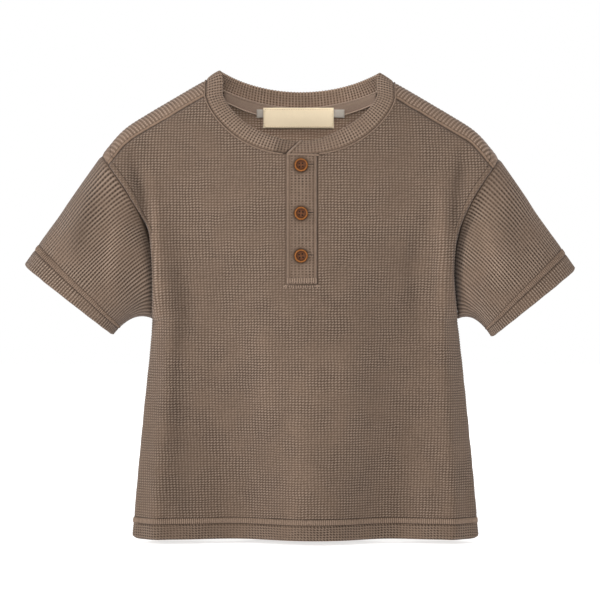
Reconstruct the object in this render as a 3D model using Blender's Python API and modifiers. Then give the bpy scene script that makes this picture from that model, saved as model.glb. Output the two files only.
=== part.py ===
"""Child's henley shirt in waffle knit, filled out as if worn, with nobody in it.

Units: the sizes below are millimetres, and MM turns them into metres.
Axes: +X is the viewer's right, the front faces -Y, +Z is up.
The origin lies between the two neck points, where shoulders carry the shirt.
"""
import math

import bpy
import numpy as np

MM = 0.001

# Driving sizes
WALL = 1.6                    # one layer of the knit
HEM_WALL = 2.6                # turned-up hem, two layers pressed
SEAM_GAP = 0.3                # daylight between two sewn pieces
EDGE_BEVEL = 0.5              # how far a wall's inner edge stays back from a seam
HEM_Z = -385.7                # body hem below the neck points
HEM_CORNER_LIFT = 3.0         # the hem rises a little at the side seams
HEM_HEIGHT = 20.0             # turned-up hem of body and sleeves
UNDERARM_Z = -200.0
UNDERARM_HALF = 129.0         # half width of the body at the underarm
HEM_FLARE = 22.0              # widening from underarm to hem, each side
HEM_FLARE_EASE = 3.5          # part of it lost again close to the hem
BODY_LEAN = 4.7               # the body hangs this far to the viewer's right
BODY_LEAN_FROM = (60.0, 200.0)       # depths below the neck points where it starts, ends
CENTRE_HALF = 127.5           # spacing of the straight columns near the middle

NECK_HALF = 79.5              # half width of the neck seam
NECK_FRONT_Z = -61.8          # front neck seam at the middle
NECK_BACK_Z = -17.5           # back neck seam at the middle
NECK_POWER_X = 2.3            # roundness of the front neck curve
NECK_POWER_Z = 1.4
BAND_WIDTH = 14.8             # neckband, seam to folded edge
BAND_WALL = 2.6               # folded double
BAND_WIDER_RIGHT = 1.6        # wider on the viewer's right, where it is stretched less
BAND_WIDER_AT = 45.0
BAND_WIDER_HALF = 28.0
BAND_FOLD_IN = 0.38           # slope of the band towards the neck in front
BAND_RISE_SIDE = (21.0, 29.0)        # degrees it rises inwards at the left, right neck point
BAND_RISE_BACK = 66.0         # and at the middle of the back
BAND_DIP = 0.5                # it slopes more above the placket
BAND_DIP_HALF = 25.0
BAND_BEVEL_FRONT = 2.1        # its inner foot stays back where it meets the front at an angle
BAND_BEVEL_BACK = 1.3
BAND_LIFT = 0.3               # the front of the band starts this much above the seam
BAND_BULGE = 0.7
BAND_SLANT = 12.0             # the free end's fold edge stops this much sooner
BAND_SLANT_REACH = 40.0       # the slant fades out over this length
BAND_TUCK = 4.6               # the under end lies this far behind
BAND_TUCK_OVER = (38.0, 27.0)        # and goes back between these lengths from its end
BAND_TURN = (-17.0, -4.0)     # depths between which the band changes from front to back lean
BAND_FOLD_SETBACK = 1.0
RIDGE_BLEND = 6.0             # front sizes of the band change to back ones this near the ridge

NECK_POINT_Z = 3.6            # shoulder ridge where the neck seam crosses it
SHOULDER_TIP_HALF = 168.8     # where shoulder line and armhole meet
SHOULDER_TIP_Z = (-60.3, -64.6)      # viewer's left, right
SHOULDER_SLOPE = 0.61
SHOULDER_PEAK_SOFT = 30.0     # rounds the unseen meeting of both slopes
SHOULDER_BEND = 0.68          # extra slope past the end of the shoulder bone
SHOULDER_BEND_X = 151.0
SHOULDER_BEND_SOFT = 4.0
SHOULDER_RIGHT_DROP = 2.0     # the viewer's right shoulder hangs lower
SEAM_FORWARD = 14.5           # shoulder seam sits this far below the ridge
SEAM_FORWARD_TIP = 18.0
SEAM_TIP_FROM = (140.0, 160.0)       # distances from the middle between which it gets there
TOP_EDGE_BETWEEN = (-90.0, 30.0)     # heights that hold the whole top edge of the front

PLACKET_LEFT = -11.3
PLACKET_RIGHT = 14.2
PLACKET_BOTTOM = -170.6
PLACKET_WALL = 2.2
PLACKET_PROUD = 0.5           # the strip stands this far out of the panel
UNDER_STRIP_BACK = 2.9        # the button stand lies this far behind
UNDER_STRIP_SHORT = 2.6       # and stops this far below the neck seam
UNDER_STRIP_NARROWER = 1.0    # at each side
UNDER_STRIP_HIGHER = 2.0      # at its lower end
BUTTON_X = 0.9
BUTTON_HEIGHTS = (-71.4, -111.5, -146.9)
BUTTON_DIAMETER = 11.5
BUTTON_THICK = 2.4
BUTTON_RIM = 1.3
BUTTON_DISH = 0.6
BUTTON_HOLE = 1.5
BUTTON_HOLE_SPACING = 2.7
BUTTON_EDGE = 0.6             # rounding of its outer edges
BUTTON_STEPS = 24
HOLE_STEPS = 8

TAPE_WIDTH = 10.4
TAPE_WALL = 1.0
TAPE_HALF = 66.0
TAPE_GAP = 0.7                # clear of the back panel's curved inside
TAPE_BELOW_SEAM = 0.8
TAPE_TAPER = 0.2              # share of its width lost towards its ends
TAB_LEFT = -38.0
TAB_RIGHT = 39.0
TAB_TOP = -18.2
TAB_BOTTOM = -25.4
LABEL_LEFT = -32.4
LABEL_RIGHT = 29.8
LABEL_TOP = -16.4
LABEL_BOTTOM = -34.2
LABEL_WALL = 1.0

ARMHOLE_REACH = 10            # the higher, the closer to its seam an armhole acts
ARMHOLE_FROM = -100.0         # below this its seam curves in to the side seam
ARMHOLE_POWER = 2.2
SCOOP_LATE = 0.95             # the armhole's scoop lies a little below half way
SCOOP_POWER = 1.2
FOLD_END_POWER = 10           # folds fade out this sharply at the seams

# Side of the body: depth of each face, where its shoulder starts to round,
# scoop of its armhole and depth of the armhole seam, in millimetres.
FACES = {
    "front": dict(sign=-1.0, chest=46.0, hem=38.0, round_z=-110.0, scoop=18.5, arm=32.0),
    "back": dict(sign=1.0, chest=47.0, hem=40.0, round_z=-95.0, scoop=9.0, arm=33.0),
}

# Standing folds of the body. x at the top and at the hem, half width, how far
# the fold stands out at mid body and at the hem (minus is a hollow), and the
# height where it fades in.
FOLDS = {
    "front": (
        dict(x_top=-116.0, x_hem=-128.0, width=9.5, mid=7.0, hem=8.0, fade=-115.0),
        dict(x_top=-72.0, x_hem=-58.0, width=40.0, mid=-12.0, hem=-24.5, fade=-140.0),
        dict(x_top=82.0, x_hem=69.0, width=33.0, mid=-10.0, hem=-21.5, fade=-140.0),
        dict(x_top=118.0, x_hem=126.0, width=9.5, mid=7.0, hem=8.0, fade=-105.0),
    ),
    "back": (
        dict(x_top=-112.0, x_hem=-126.0, width=11.0, mid=5.0, hem=7.0, fade=-130.0),
        dict(x_top=-70.0, x_hem=-66.0, width=26.0, mid=-7.0, hem=-19.0, fade=-150.0),
        dict(x_top=0.0, x_hem=6.0, width=26.0, mid=0.0, hem=3.0, fade=-220.0),
        dict(x_top=66.0, x_hem=74.0, width=26.0, mid=-8.0, hem=-21.0, fade=-150.0),
        dict(x_top=112.0, x_hem=126.0, width=11.0, mid=5.0, hem=7.0, fade=-130.0),
    ),
}

# Sleeve on each side: the two corners of its cuff seen from the front, and the
# half depth of the cuff.
SLEEVES = {
    "left": dict(side=-1.0, outer=(-234.2, -153.9), inner=(-159.0, -213.4), depth=29.0),
    "right": dict(side=1.0, outer=(234.2, -157.3), inner=(162.8, -215.1), depth=29.0),
}
SLEEVE_LENGTH = 95.0          # along the crest, armhole to cuff
SLEEVE_START = 0.004          # share of the way from armhole to cuff where it starts
SLEEVE_CREST_FRONT = 9.0      # swell of the sleeve between armhole and cuff
SLEEVE_CREST_BACK = 6.0
SLEEVE_CREST_AT = 0.55
SLEEVE_UNDER_LIFT = 8.0       # underside arches up between armhole and cuff
SLEEVE_UNDER_SPREAD = 0.22    # over this share of the way round
CUFF_POWER = 2.2

# Rows of the grids
HEM_ROWS = 2
SKIRT_ROWS = 12
YOKE_ROWS = 10
ROUND_ROWS = 7
WRAP_ROWS = 4
BACK_ROWS = 5                 # from underarm to where the back starts to round
SLEEVE_ROWS = 8
NECK_COLUMNS = 8              # each side of the middle, within the neck hole
SIDE_COLUMNS = 12
NECK_EASE = 1.35              # columns lie closer together near the neck points
BAND_FRONT_STEPS = 12
BAND_BACK_STEPS = 18
BAND_ENDS_STEPS = (3, 4)      # across the placket, over end and under end
BAND_RISES = (0.0, 0.33, 0.67, 1.0)
LEAN_PASSES = 3               # smoothing of the neckband's lean
TAPE_COLUMNS = 23
LABEL_GRID = (9, 4)

# Colours (linear) and finish
KNIT_COLOUR = (0.214, 0.150, 0.114)
BAND_COLOUR = (0.205, 0.144, 0.109)
TAPE_COLOUR = (0.168, 0.118, 0.090)
LABEL_COLOUR = (0.72, 0.63, 0.46)
TAB_COLOUR = (0.52, 0.51, 0.48)
BUTTON_COLOUR = (0.27, 0.075, 0.028)
CLOTH_ROUGHNESS = 0.92
BUTTON_ROUGHNESS = 0.42


def clear_scene():
    for old in list(bpy.data.objects):
        bpy.data.objects.remove(old, do_unlink=True)


def make_collection():
    collection = bpy.data.collections.new("henley_shirt")
    bpy.context.scene.collection.children.link(collection)
    return collection


def make_material(name, colour, roughness, metallic=0.0):
    material = bpy.data.materials.new(name)
    material.use_nodes = True
    shader = material.node_tree.nodes["Principled BSDF"]
    shader.inputs["Base Color"].default_value = (*colour, 1.0)
    shader.inputs["Roughness"].default_value = roughness
    shader.inputs["Metallic"].default_value = metallic
    return material


# ---- small maths ---------------------------------------------------------

def smoothstep(value, start, end):
    """0 at start, 1 at end, level at both."""
    ratio = np.clip((value - start) / (end - start), 0.0, 1.0)
    return ratio * ratio * (3.0 - 2.0 * ratio)


def soft_ramp(value, soft):
    """0 below zero and a straight ramp above it, rounded over soft."""
    return soft * np.logaddexp(0.0, value / soft)


def solve_height(error, low, high, shape):
    """Height where the rising function error(z) is zero, by halving."""
    low = np.full(shape, float(low))
    high = np.full(shape, float(high))
    for _ in range(50):
        middle = 0.5 * (low + high)
        above = error(middle) > 0.0
        high = np.where(above, middle, high)
        low = np.where(above, low, middle)
    return 0.5 * (low + high)


def unit(vectors):
    return vectors / np.maximum(np.linalg.norm(vectors, axis=-1, keepdims=True), 1e-9)


# ---- the body as a surface -----------------------------------------------
# A point of the body has a column xi, from -1 at the viewer's left seam to +1
# at the right one, and a height z.

def tip_z(xi):
    return np.where(xi < 0.0, SHOULDER_TIP_Z[0], SHOULDER_TIP_Z[1])


def ridge_z(x):
    """Height of the shoulder ridge above x, unseen inside the neck hole."""
    slope_run = np.sqrt(x * x + SHOULDER_PEAK_SOFT ** 2)
    neck_run = math.hypot(NECK_HALF, SHOULDER_PEAK_SOFT)
    bend = SHOULDER_BEND * soft_ramp(np.abs(x) - SHOULDER_BEND_X, SHOULDER_BEND_SOFT)
    drop = SHOULDER_RIGHT_DROP * smoothstep(x, -60.0, 60.0)
    return NECK_POINT_Z - SHOULDER_SLOPE * (slope_run - neck_run) - bend - drop


def seam_half(xi, z, face):
    """Half width of the body at its armhole seam or side seam."""
    top = tip_z(xi)
    down = np.clip((top - z) / (top - UNDERARM_Z), 0.0, 1.0)
    late = down ** SCOOP_LATE
    scoop = FACES[face]["scoop"] * (4.0 * late * (1.0 - late)) ** SCOOP_POWER
    armhole = SHOULDER_TIP_HALF + (UNDERARM_HALF - SHOULDER_TIP_HALF) * down - scoop
    below = np.clip((UNDERARM_Z - z) / (UNDERARM_Z - HEM_Z), 0.0, None)
    side = UNDERARM_HALF + HEM_FLARE * below - HEM_FLARE_EASE * below ** 2
    return np.where(z > UNDERARM_Z, armhole, side)


def lean_at(z):
    return BODY_LEAN * smoothstep(-z, *BODY_LEAN_FROM)


def body_x(xi, z, face):
    half = seam_half(xi, z, face)
    return CENTRE_HALF * xi + (half - CENTRE_HALF) * xi ** 3 + lean_at(z) * xi * xi


def fold_depth(xi, x, z, face):
    total = 0.0
    for fold in FOLDS[face]:
        down = smoothstep(-z, -UNDERARM_Z, -HEM_Z)
        centre = fold["x_top"] + (fold["x_hem"] - fold["x_top"]) * down
        reach = fold["mid"] + (fold["hem"] - fold["mid"]) * down
        reach = reach * smoothstep(-z, -fold["fade"] - 35.0, -fold["fade"] + 60.0)
        total = total + reach * np.exp(-(((x - lean_at(z) - centre) / fold["width"]) ** 2))
    return total * (1.0 - np.abs(xi) ** FOLD_END_POWER)


def body_depth(xi, z, face):
    """Depth of a face of the body in front of or behind the shoulder ridge."""
    sizes = FACES[face]
    x = body_x(xi, z, face)
    down = np.clip((ARMHOLE_FROM - z) / (ARMHOLE_FROM - UNDERARM_Z), 0.0, 1.0)
    seam = sizes["arm"] * np.sqrt(np.clip(1.0 - down ** ARMHOLE_POWER, 0.0, 1.0))
    middle = sizes["chest"] + (sizes["hem"] - sizes["chest"]) * smoothstep(-z, -UNDERARM_Z, -HEM_Z)
    arch = np.sqrt(np.clip(1.0 - xi * xi, 0.0, 1.0))
    return middle * arch + seam * np.abs(xi) ** ARMHOLE_REACH + fold_depth(xi, x, z, face)


def climb(xi, z, face):
    """0 where a face starts to round into the shoulder, 1 on the ridge."""
    start = FACES[face]["round_z"]
    ridge = ridge_z(body_x(xi, z, face))
    return np.clip((z - start) / (ridge - start), 0.0, 1.0)


def body_point(xi, z, face):
    xi, z = np.broadcast_arrays(np.asarray(xi, float), np.asarray(z, float))
    rounding = np.sqrt(1.0 - climb(xi, z, face) ** 2)
    y = FACES[face]["sign"] * body_depth(xi, z, face) * rounding
    return np.stack([body_x(xi, z, face), y, z], axis=-1)


def height_at_climb(xi, wanted, face):
    """Height on a column where the face has climbed the wanted share."""
    start = FACES[face]["round_z"]
    return solve_height(lambda z: (z - start) / (ridge_z(body_x(xi, z, face)) - start) - wanted,
                        start, 60.0, np.shape(xi))


def shoulder_seam_z(x):
    forward = SEAM_FORWARD + (SEAM_FORWARD_TIP - SEAM_FORWARD) * smoothstep(np.abs(x), *SEAM_TIP_FROM)
    return ridge_z(x) - forward


def front_neck_z(x):
    corner = shoulder_seam_z(np.sign(x) * NECK_HALF)
    inside = np.clip(1.0 - (np.abs(x) / NECK_HALF) ** NECK_POWER_X, 0.0, 1.0)
    return corner + (NECK_FRONT_Z - corner) * inside ** (1.0 / NECK_POWER_Z)


def back_neck_z(x):
    corner = ridge_z(np.sign(x) * NECK_HALF)
    inside = np.clip(1.0 - (x / NECK_HALF) ** 2, 0.0, 1.0)
    return corner + (NECK_BACK_Z - corner) * inside


def front_top_z(x):
    return np.where(np.abs(x) < NECK_HALF, front_neck_z(x), shoulder_seam_z(x))


def column_at(x):
    """Column that stands at x above the armholes."""
    return math.copysign(solve_height(
        lambda xi: CENTRE_HALF * xi + (SHOULDER_TIP_HALF - CENTRE_HALF) * xi ** 3 - abs(x),
        0.0, 1.0, ()).item(), x)


def hem_z(xi):
    return HEM_Z + HEM_CORNER_LIFT * np.abs(xi) ** 20


# ---- cloth walls ---------------------------------------------------------

def grid_cells(keep, ring):
    """Corner numbers of the kept cells of a grid, going round each cell."""
    gaps = keep.shape[1]
    columns = gaps if ring else gaps + 1
    cells = []
    for row, gap in zip(*np.nonzero(keep)):
        beside = (gap + 1) % columns
        cells.append((row * columns + gap, row * columns + beside,
                      (row + 1) * columns + beside, (row + 1) * columns + gap))
    return np.array(cells)


def edge_walk(cells):
    """Edges that only one cell has, as pairs in the order of that cell."""
    seen = {}
    for cell in cells:
        for start, end in zip(cell, np.roll(cell, -1)):
            seen[(int(start), int(end))] = True
    return [pair for pair in seen if (pair[1], pair[0]) not in seen]


def point_normals(points, cells):
    corners = points[cells]
    facing = np.cross(corners[:, 2] - corners[:, 0], corners[:, 3] - corners[:, 1])
    normals = np.zeros_like(points)
    for corner in range(4):
        np.add.at(normals, cells[:, corner], facing)
    return unit(normals)


def inward_steps(points, cells, border):
    """Unit steps along the cloth, from each border point into the piece."""
    totals = np.zeros_like(points)
    middles = points[cells].mean(axis=1)
    for corner in range(4):
        np.add.at(totals, cells[:, corner], unit(middles - points[cells[:, corner]]))
    along = np.zeros_like(points)
    for start, end in border:
        run = unit(points[end] - points[start])
        along[start] += run
        along[end] += run
    along = unit(along)
    steps = totals - along * np.sum(totals * along, axis=1, keepdims=True)
    on_border = np.zeros(len(points), bool)
    on_border[np.array(border).ravel()] = True
    return unit(steps) * on_border[:, None]


def level_side_normals(normals, shape):
    """Both faces of the body meet their side seams with one sideways normal."""
    shaped = normals.reshape(*shape, 3)
    under = HEM_ROWS + SKIRT_ROWS
    for side in (0, -1):
        shaped[:under, side, 1] = 0.0
        shaped[:under, side] = unit(shaped[:under, side])


def cloth(name, grid, material, wall=WALL, keep=None, ring=False, outward=True,
          bevel=EDGE_BEVEL, side_seams=False):
    """A closed cloth wall on a grid of outer points, its rows and columns in mm."""
    rows, columns = grid.shape[:2]
    if keep is None:
        keep = np.ones((rows - 1, columns if ring else columns - 1), bool)
    cells = grid_cells(keep, ring)
    if not outward:
        cells = cells[:, ::-1]
    points = grid.reshape(-1, 3)
    border = edge_walk(cells)
    normals = point_normals(points, cells)
    if side_seams:
        level_side_normals(normals, (rows, columns))
    steps = inward_steps(points, cells, border)
    thickness = np.broadcast_to(wall, (rows, columns)).reshape(-1, 1)
    setback = np.broadcast_to(bevel, (rows, columns)).reshape(-1, 1)
    outer = points + steps * (SEAM_GAP / 2.0)
    inner = outer + steps * setback - normals * thickness
    count = len(points)
    faces = [tuple(cell) for cell in cells]
    faces += [tuple(cell[::-1] + count) for cell in cells]
    faces += [(end, start, start + count, end + count) for start, end in border]
    used = np.unique(cells)
    place = np.full(2 * count, -1)
    place[used] = np.arange(len(used))
    place[used + count] = np.arange(len(used)) + len(used)
    corners = np.concatenate([outer[used], inner[used]]) * MM
    mesh = bpy.data.meshes.new(name)
    mesh.from_pydata(corners.tolist(), [], [[int(place[corner]) for corner in face] for face in faces])
    mesh.materials.append(material)
    piece = bpy.data.objects.new(name, mesh)
    bpy.data.collections["henley_shirt"].objects.link(piece)
    return piece


# ---- columns and rows of the body ----------------------------------------

def eased(start, end, count):
    """count steps from start to end, closer together near the end."""
    share = 1.0 - (1.0 - np.linspace(0.0, 1.0, count + 1)) ** NECK_EASE
    return start + (end - start) * share


def half_columns(first):
    neck = column_at(NECK_HALF)
    outer = np.sin(np.linspace(math.asin(neck), 0.5 * math.pi, SIDE_COLUMNS + 1))
    return np.concatenate([eased(first, neck, NECK_COLUMNS)[:-1], outer])


def front_columns():
    left = -half_columns(-column_at(PLACKET_LEFT - SEAM_GAP / 2.0))
    right = half_columns(column_at(PLACKET_RIGHT + SEAM_GAP / 2.0))
    return np.concatenate([left[::-1], right])


def back_columns():
    right = half_columns(0.0)
    return np.concatenate([-right[:0:-1], right])


def skirt_rows(columns):
    """Heights of the rows from hem to underarm, for each column."""
    hem = hem_z(columns)
    share = np.concatenate([np.linspace(0.0, 1.0, HEM_ROWS + 1)[:-1] * HEM_HEIGHT,
                            np.linspace(HEM_HEIGHT, UNDERARM_Z - HEM_Z, SKIRT_ROWS + 1)])
    share = share / (UNDERARM_Z - HEM_Z)
    return hem + (UNDERARM_Z - hem) * share[:, None]


def hem_walls(rows, columns):
    walls = np.full((rows, columns), WALL)
    walls[:HEM_ROWS + 1] = HEM_WALL
    return walls


def front_grid():
    columns = front_columns()
    top = solve_height(lambda z: z - front_top_z(body_x(columns, z, "front")),
                       *TOP_EDGE_BETWEEN, columns.shape)
    yoke_share = np.linspace(0.0, 1.0, YOKE_ROWS + 1)[1:, None]
    placket_end = PLACKET_BOTTOM - SEAM_GAP / 2.0
    heights = np.concatenate([skirt_rows(columns),
                              np.full((1, len(columns)), 0.5 * (UNDERARM_Z + placket_end)),
                              np.full((1, len(columns)), placket_end),
                              placket_end + (top - placket_end) * yoke_share])
    return columns, heights, body_point(columns, heights, "front")


def front_panel(material):
    columns, heights, grid = front_grid()
    keep = np.ones((len(heights) - 1, len(columns) - 1), bool)
    slit = np.abs(0.5 * (columns[1:] + columns[:-1])) < abs(column_at(PLACKET_LEFT))
    keep[HEM_ROWS + SKIRT_ROWS + 2:, slit] = False
    return cloth("front_panel", grid, material, hem_walls(*heights.shape), keep, side_seams=True)


def back_grid():
    """Rows up the back, then over the ridge and down to the forward seam."""
    columns = back_columns()
    inside_neck = np.abs(columns) < column_at(NECK_HALF) - 1e-6
    start = FACES["back"]["round_z"]
    neck = back_neck_z(body_x(columns, 0.0, "back"))
    share = (neck - start) / (ridge_z(body_x(columns, 0.0, "back")) - start)
    last_turn = np.where(inside_neck, np.arcsin(np.clip(share, 0.0, 1.0)), 0.5 * math.pi)
    straight = np.linspace(UNDERARM_Z, start, BACK_ROWS + 1)[1:, None] + np.zeros_like(columns)
    turns = last_turn * np.linspace(0.0, 1.0, ROUND_ROWS + 1)[1:, None]
    heights = [height_at_climb(columns, np.sin(turn), "back") for turn in turns]
    rows = np.concatenate([skirt_rows(columns), straight, heights])
    back = body_point(columns, rows, "back")
    seam = solve_height(lambda z: z - shoulder_seam_z(body_x(columns, z, "front")),
                        *TOP_EDGE_BETWEEN, columns.shape)
    seam_turn = np.arcsin(climb(columns, seam, "front"))
    wrap = []
    for share in np.linspace(0.0, 1.0, WRAP_ROWS + 1)[1:]:
        turn = 0.5 * math.pi + (seam_turn - 0.5 * math.pi) * share
        wrap.append(body_point(columns, height_at_climb(columns, np.sin(turn), "front"), "front"))
    return columns, np.concatenate([back, wrap])


def back_panel(material):
    columns, grid = back_grid()
    keep = np.ones((len(grid) - 1, len(columns) - 1), bool)
    middle = np.abs(0.5 * (columns[1:] + columns[:-1]))
    keep[-WRAP_ROWS:, middle < column_at(NECK_HALF)] = False
    return cloth("back_panel", grid, material, hem_walls(*grid.shape[:2]), keep, outward=False,
                 side_seams=True)


# ---- sleeves -------------------------------------------------------------

def armhole_loop(side):
    """Points round the armhole: ridge, front, underarm, back, shared with the panels."""
    edge = 0 if side < 0 else -1
    under = HEM_ROWS + SKIRT_ROWS
    front = front_grid()[2][under:, edge]
    back = back_grid()[1][under:, edge]
    ridge = len(back) - 1 - WRAP_ROWS
    down_front = np.concatenate([back[ridge:], front[-2::-1]])
    up_back = back[1:ridge]
    return down_front, up_back


def travelled(points):
    steps = np.linalg.norm(np.diff(points, axis=0), axis=1)
    run = np.concatenate([[0.0], np.cumsum(steps)])
    return run / run[-1]


def cuff_loop(sizes, front_share, back_share):
    outer = np.array([sizes["outer"][0], 0.0, sizes["outer"][1]])
    inner = np.array([sizes["inner"][0], 0.0, sizes["inner"][1]])
    turn = math.pi * np.concatenate([front_share, 1.0 + back_share])
    across = np.sign(np.cos(turn)) * np.abs(np.cos(turn)) ** (2.0 / CUFF_POWER)
    depth = -np.sign(np.sin(turn)) * np.abs(np.sin(turn)) ** (2.0 / CUFF_POWER)
    middle = 0.5 * (outer + inner)
    half = 0.5 * (outer - inner)
    return middle + across[:, None] * half + depth[:, None] * np.array([0.0, sizes["depth"], 0.0])


def sleeve_grid(sizes, along):
    """Rings from armhole to cuff, at the shares of the way given."""
    down_front, up_back = armhole_loop(sizes["side"])
    front_share = travelled(down_front)
    whole_back = np.concatenate([down_front[-1:], up_back, down_front[:1]])
    back_share = travelled(whole_back)[1:-1]
    armhole = np.concatenate([down_front, up_back])
    cuff = cuff_loop(sizes, front_share, back_share)
    round_share = np.concatenate([front_share, 1.0 + back_share])
    faces = np.sin(math.pi * round_share)
    under = np.exp(-((round_share - 1.0) / SLEEVE_UNDER_SPREAD) ** 2)
    rings = []
    for share in along:
        swell = math.sin(math.pi * share ** (math.log(0.5) / math.log(SLEEVE_CREST_AT)))
        crest = np.where(faces > 0.0, -SLEEVE_CREST_FRONT * faces, -SLEEVE_CREST_BACK * faces)
        ring = armhole + (cuff - armhole) * share
        ring[:, 1] += crest * swell
        ring[:, 2] += SLEEVE_UNDER_LIFT * under * math.sin(math.pi * share) ** 0.8
        rings.append(ring)
    return np.array(rings)


def sleeve(name, sizes, material):
    hem_at = 1.0 - HEM_HEIGHT / SLEEVE_LENGTH
    hem_shares = np.linspace(hem_at, 1.0, HEM_ROWS + 1)
    along = np.concatenate([np.linspace(SLEEVE_START, hem_at, SLEEVE_ROWS)[:-1], hem_shares])
    grid = sleeve_grid(sizes, along)
    walls = np.full(grid.shape[:2], WALL)
    walls[-HEM_ROWS - 1:] = HEM_WALL
    return cloth(name, grid, material, walls, ring=True, outward=sizes["side"] > 0)


# ---- neckband ------------------------------------------------------------

def neck_route():
    """Neck seam from the placket's left edge, once round by the back, and past it."""
    neck = column_at(NECK_HALF)
    start = column_at(PLACKET_LEFT)
    end = column_at(PLACKET_RIGHT)

    def along_front(columns):
        x = body_x(columns, 0.0, "front")
        return body_point(columns, front_neck_z(x), "front")

    def over_shoulder(column):
        low = shoulder_seam_z(body_x(np.array(column), 0.0, "front"))
        turn = np.linspace(math.asin(climb(np.array(column), low, "front").item()),
                           0.5 * math.pi, WRAP_ROWS + 1)[1:-1]
        columns = np.full(turn.shape, column)
        return body_point(columns, height_at_climb(columns, np.sin(turn), "front"), "front")

    over_end, under_end = BAND_ENDS_STEPS
    across = np.concatenate([np.linspace(start, end, over_end + 1)[:-1],
                             eased(end, neck, BAND_FRONT_STEPS)])
    behind = np.linspace(neck, -neck, BAND_BACK_STEPS + 1)
    back = body_point(behind, back_neck_z(body_x(behind, 0.0, "back")), "back")
    return np.concatenate([along_front(across), over_shoulder(neck), back,
                           over_shoulder(-neck)[::-1],
                           along_front(-eased(-start, neck, BAND_FRONT_STEPS)[::-1]),
                           along_front(np.linspace(start, end, under_end + 1)[1:-1])])


def band_lean(points):
    """Unit steps from the neck seam to the folded edge of the neckband."""
    run = np.gradient(points, axis=0)
    in_view = unit(run[:, [0, 2]])
    across = np.stack([-in_view[:, 1], in_view[:, 0]], axis=1)
    middle = np.exp(-(points[:, 0] / BAND_DIP_HALF) ** 2)
    slope = -BAND_FOLD_IN * points[:, 1] / FACES["front"]["chest"] + BAND_DIP * middle
    in_front = unit(np.stack([across[:, 0], slope, across[:, 1]], axis=1))
    in_plan = unit(run[:, :2])
    share = np.clip(points[:, 1] / points[:, 1].max(), 0.0, 1.0)
    side = np.where(points[:, 0] < 0.0, *BAND_RISE_SIDE)
    rise = np.radians(side + (BAND_RISE_BACK - side) * share)
    level = np.cos(rise)
    behind = np.stack([-in_plan[:, 1] * level, in_plan[:, 0] * level, np.sin(rise)], axis=1)
    weight = smoothstep(points[:, 1], *BAND_TURN)[:, None]
    leans = unit(in_front * (1.0 - weight) + behind * weight)
    for _ in range(LEAN_PASSES):
        leans[1:-1] = unit(leans[:-2] + 2.0 * leans[1:-1] + leans[2:])
    return leans


def in_front_share(points):
    """1 in front of the shoulder ridge and 0 behind it."""
    return smoothstep(-points[..., 1], -RIDGE_BLEND, RIDGE_BLEND)


def band_grid(rises):
    """Rows of the neckband from seam to fold; its free end slants, its other one lies behind."""
    seam = neck_route()
    leans = band_lean(seam)
    places = np.concatenate([[0.0], np.cumsum(np.linalg.norm(np.diff(seam, axis=0), axis=1))])
    wider = BAND_WIDER_RIGHT * np.exp(-((seam[:, 0] - BAND_WIDER_AT) / BAND_WIDER_HALF) ** 2)
    widths = BAND_WIDTH + wider * (seam[:, 1] < 0.0)
    slant = BAND_SLANT * np.clip(1.0 - places / BAND_SLANT_REACH, 0.0, 1.0)
    tuck_from, tuck_to = BAND_TUCK_OVER
    tuck = BAND_TUCK * smoothstep(places, places[-1] - tuck_from, places[-1] - tuck_to)
    rows = []
    for rise in rises:
        at = places + slant * rise
        foot = np.stack([np.interp(at, places, seam[:, axis]) for axis in range(3)], axis=1)
        lean = np.stack([np.interp(at, places, leans[:, axis]) for axis in range(3)], axis=1)
        width = np.interp(at, places, widths)[:, None]
        outward = unit(np.cross(np.gradient(foot, axis=0), lean))
        bulge = BAND_BULGE * math.sin(math.pi * rise)
        lift = BAND_LIFT * (1.0 - rise) * in_front_share(foot)[:, None]
        row = foot + lean * (width * rise + lift) + outward * bulge
        row[:, 1] += tuck
        rows.append(row)
    return np.array(rows)


def neckband(material):
    grid = band_grid(BAND_RISES)
    bevel = BAND_BEVEL_BACK + (BAND_BEVEL_FRONT - BAND_BEVEL_BACK) * in_front_share(grid)
    bevel[-1] = BAND_FOLD_SETBACK
    return cloth("neckband", grid, material, BAND_WALL, bevel=bevel)


# ---- placket -------------------------------------------------------------

def strip_grid(left, right, top_back, bottom, out, across=3, down=8):
    """Part of the front between two straight columns, moved out by a distance."""
    columns = np.linspace(column_at(left), column_at(right), across)
    top = front_neck_z(body_x(columns, 0.0, "front")) - top_back
    heights = top + (bottom - top) * np.linspace(0.0, 1.0, down)[::-1, None]
    return moved_out(columns, heights, "front", out)


def moved_out(columns, heights, face, out):
    step = 0.5
    here = body_point(columns, heights, face)
    beside = body_point(columns + step / CENTRE_HALF, heights, face) - here
    above = body_point(columns, heights + step, face) - here
    normal = unit(np.cross(beside, above)) * -FACES[face]["sign"]
    return here + normal * out


def placket_over(material):
    grid = strip_grid(PLACKET_LEFT, PLACKET_RIGHT, SEAM_GAP, PLACKET_BOTTOM, PLACKET_PROUD)
    return cloth("placket_over", grid, material, PLACKET_WALL)


def placket_under(material):
    grid = strip_grid(PLACKET_LEFT + UNDER_STRIP_NARROWER, PLACKET_RIGHT - UNDER_STRIP_NARROWER,
                      UNDER_STRIP_SHORT, PLACKET_BOTTOM + UNDER_STRIP_HIGHER,
                      PLACKET_PROUD - UNDER_STRIP_BACK)
    return cloth("placket_under", grid, material)


# ---- tape and labels inside the back neck --------------------------------

def inside_back(x, z, depth):
    """Point inside the back panel, this deep behind its outer face."""
    columns = np.vectorize(column_at)(x)
    return moved_out(columns, z, "back", -depth)


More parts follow.
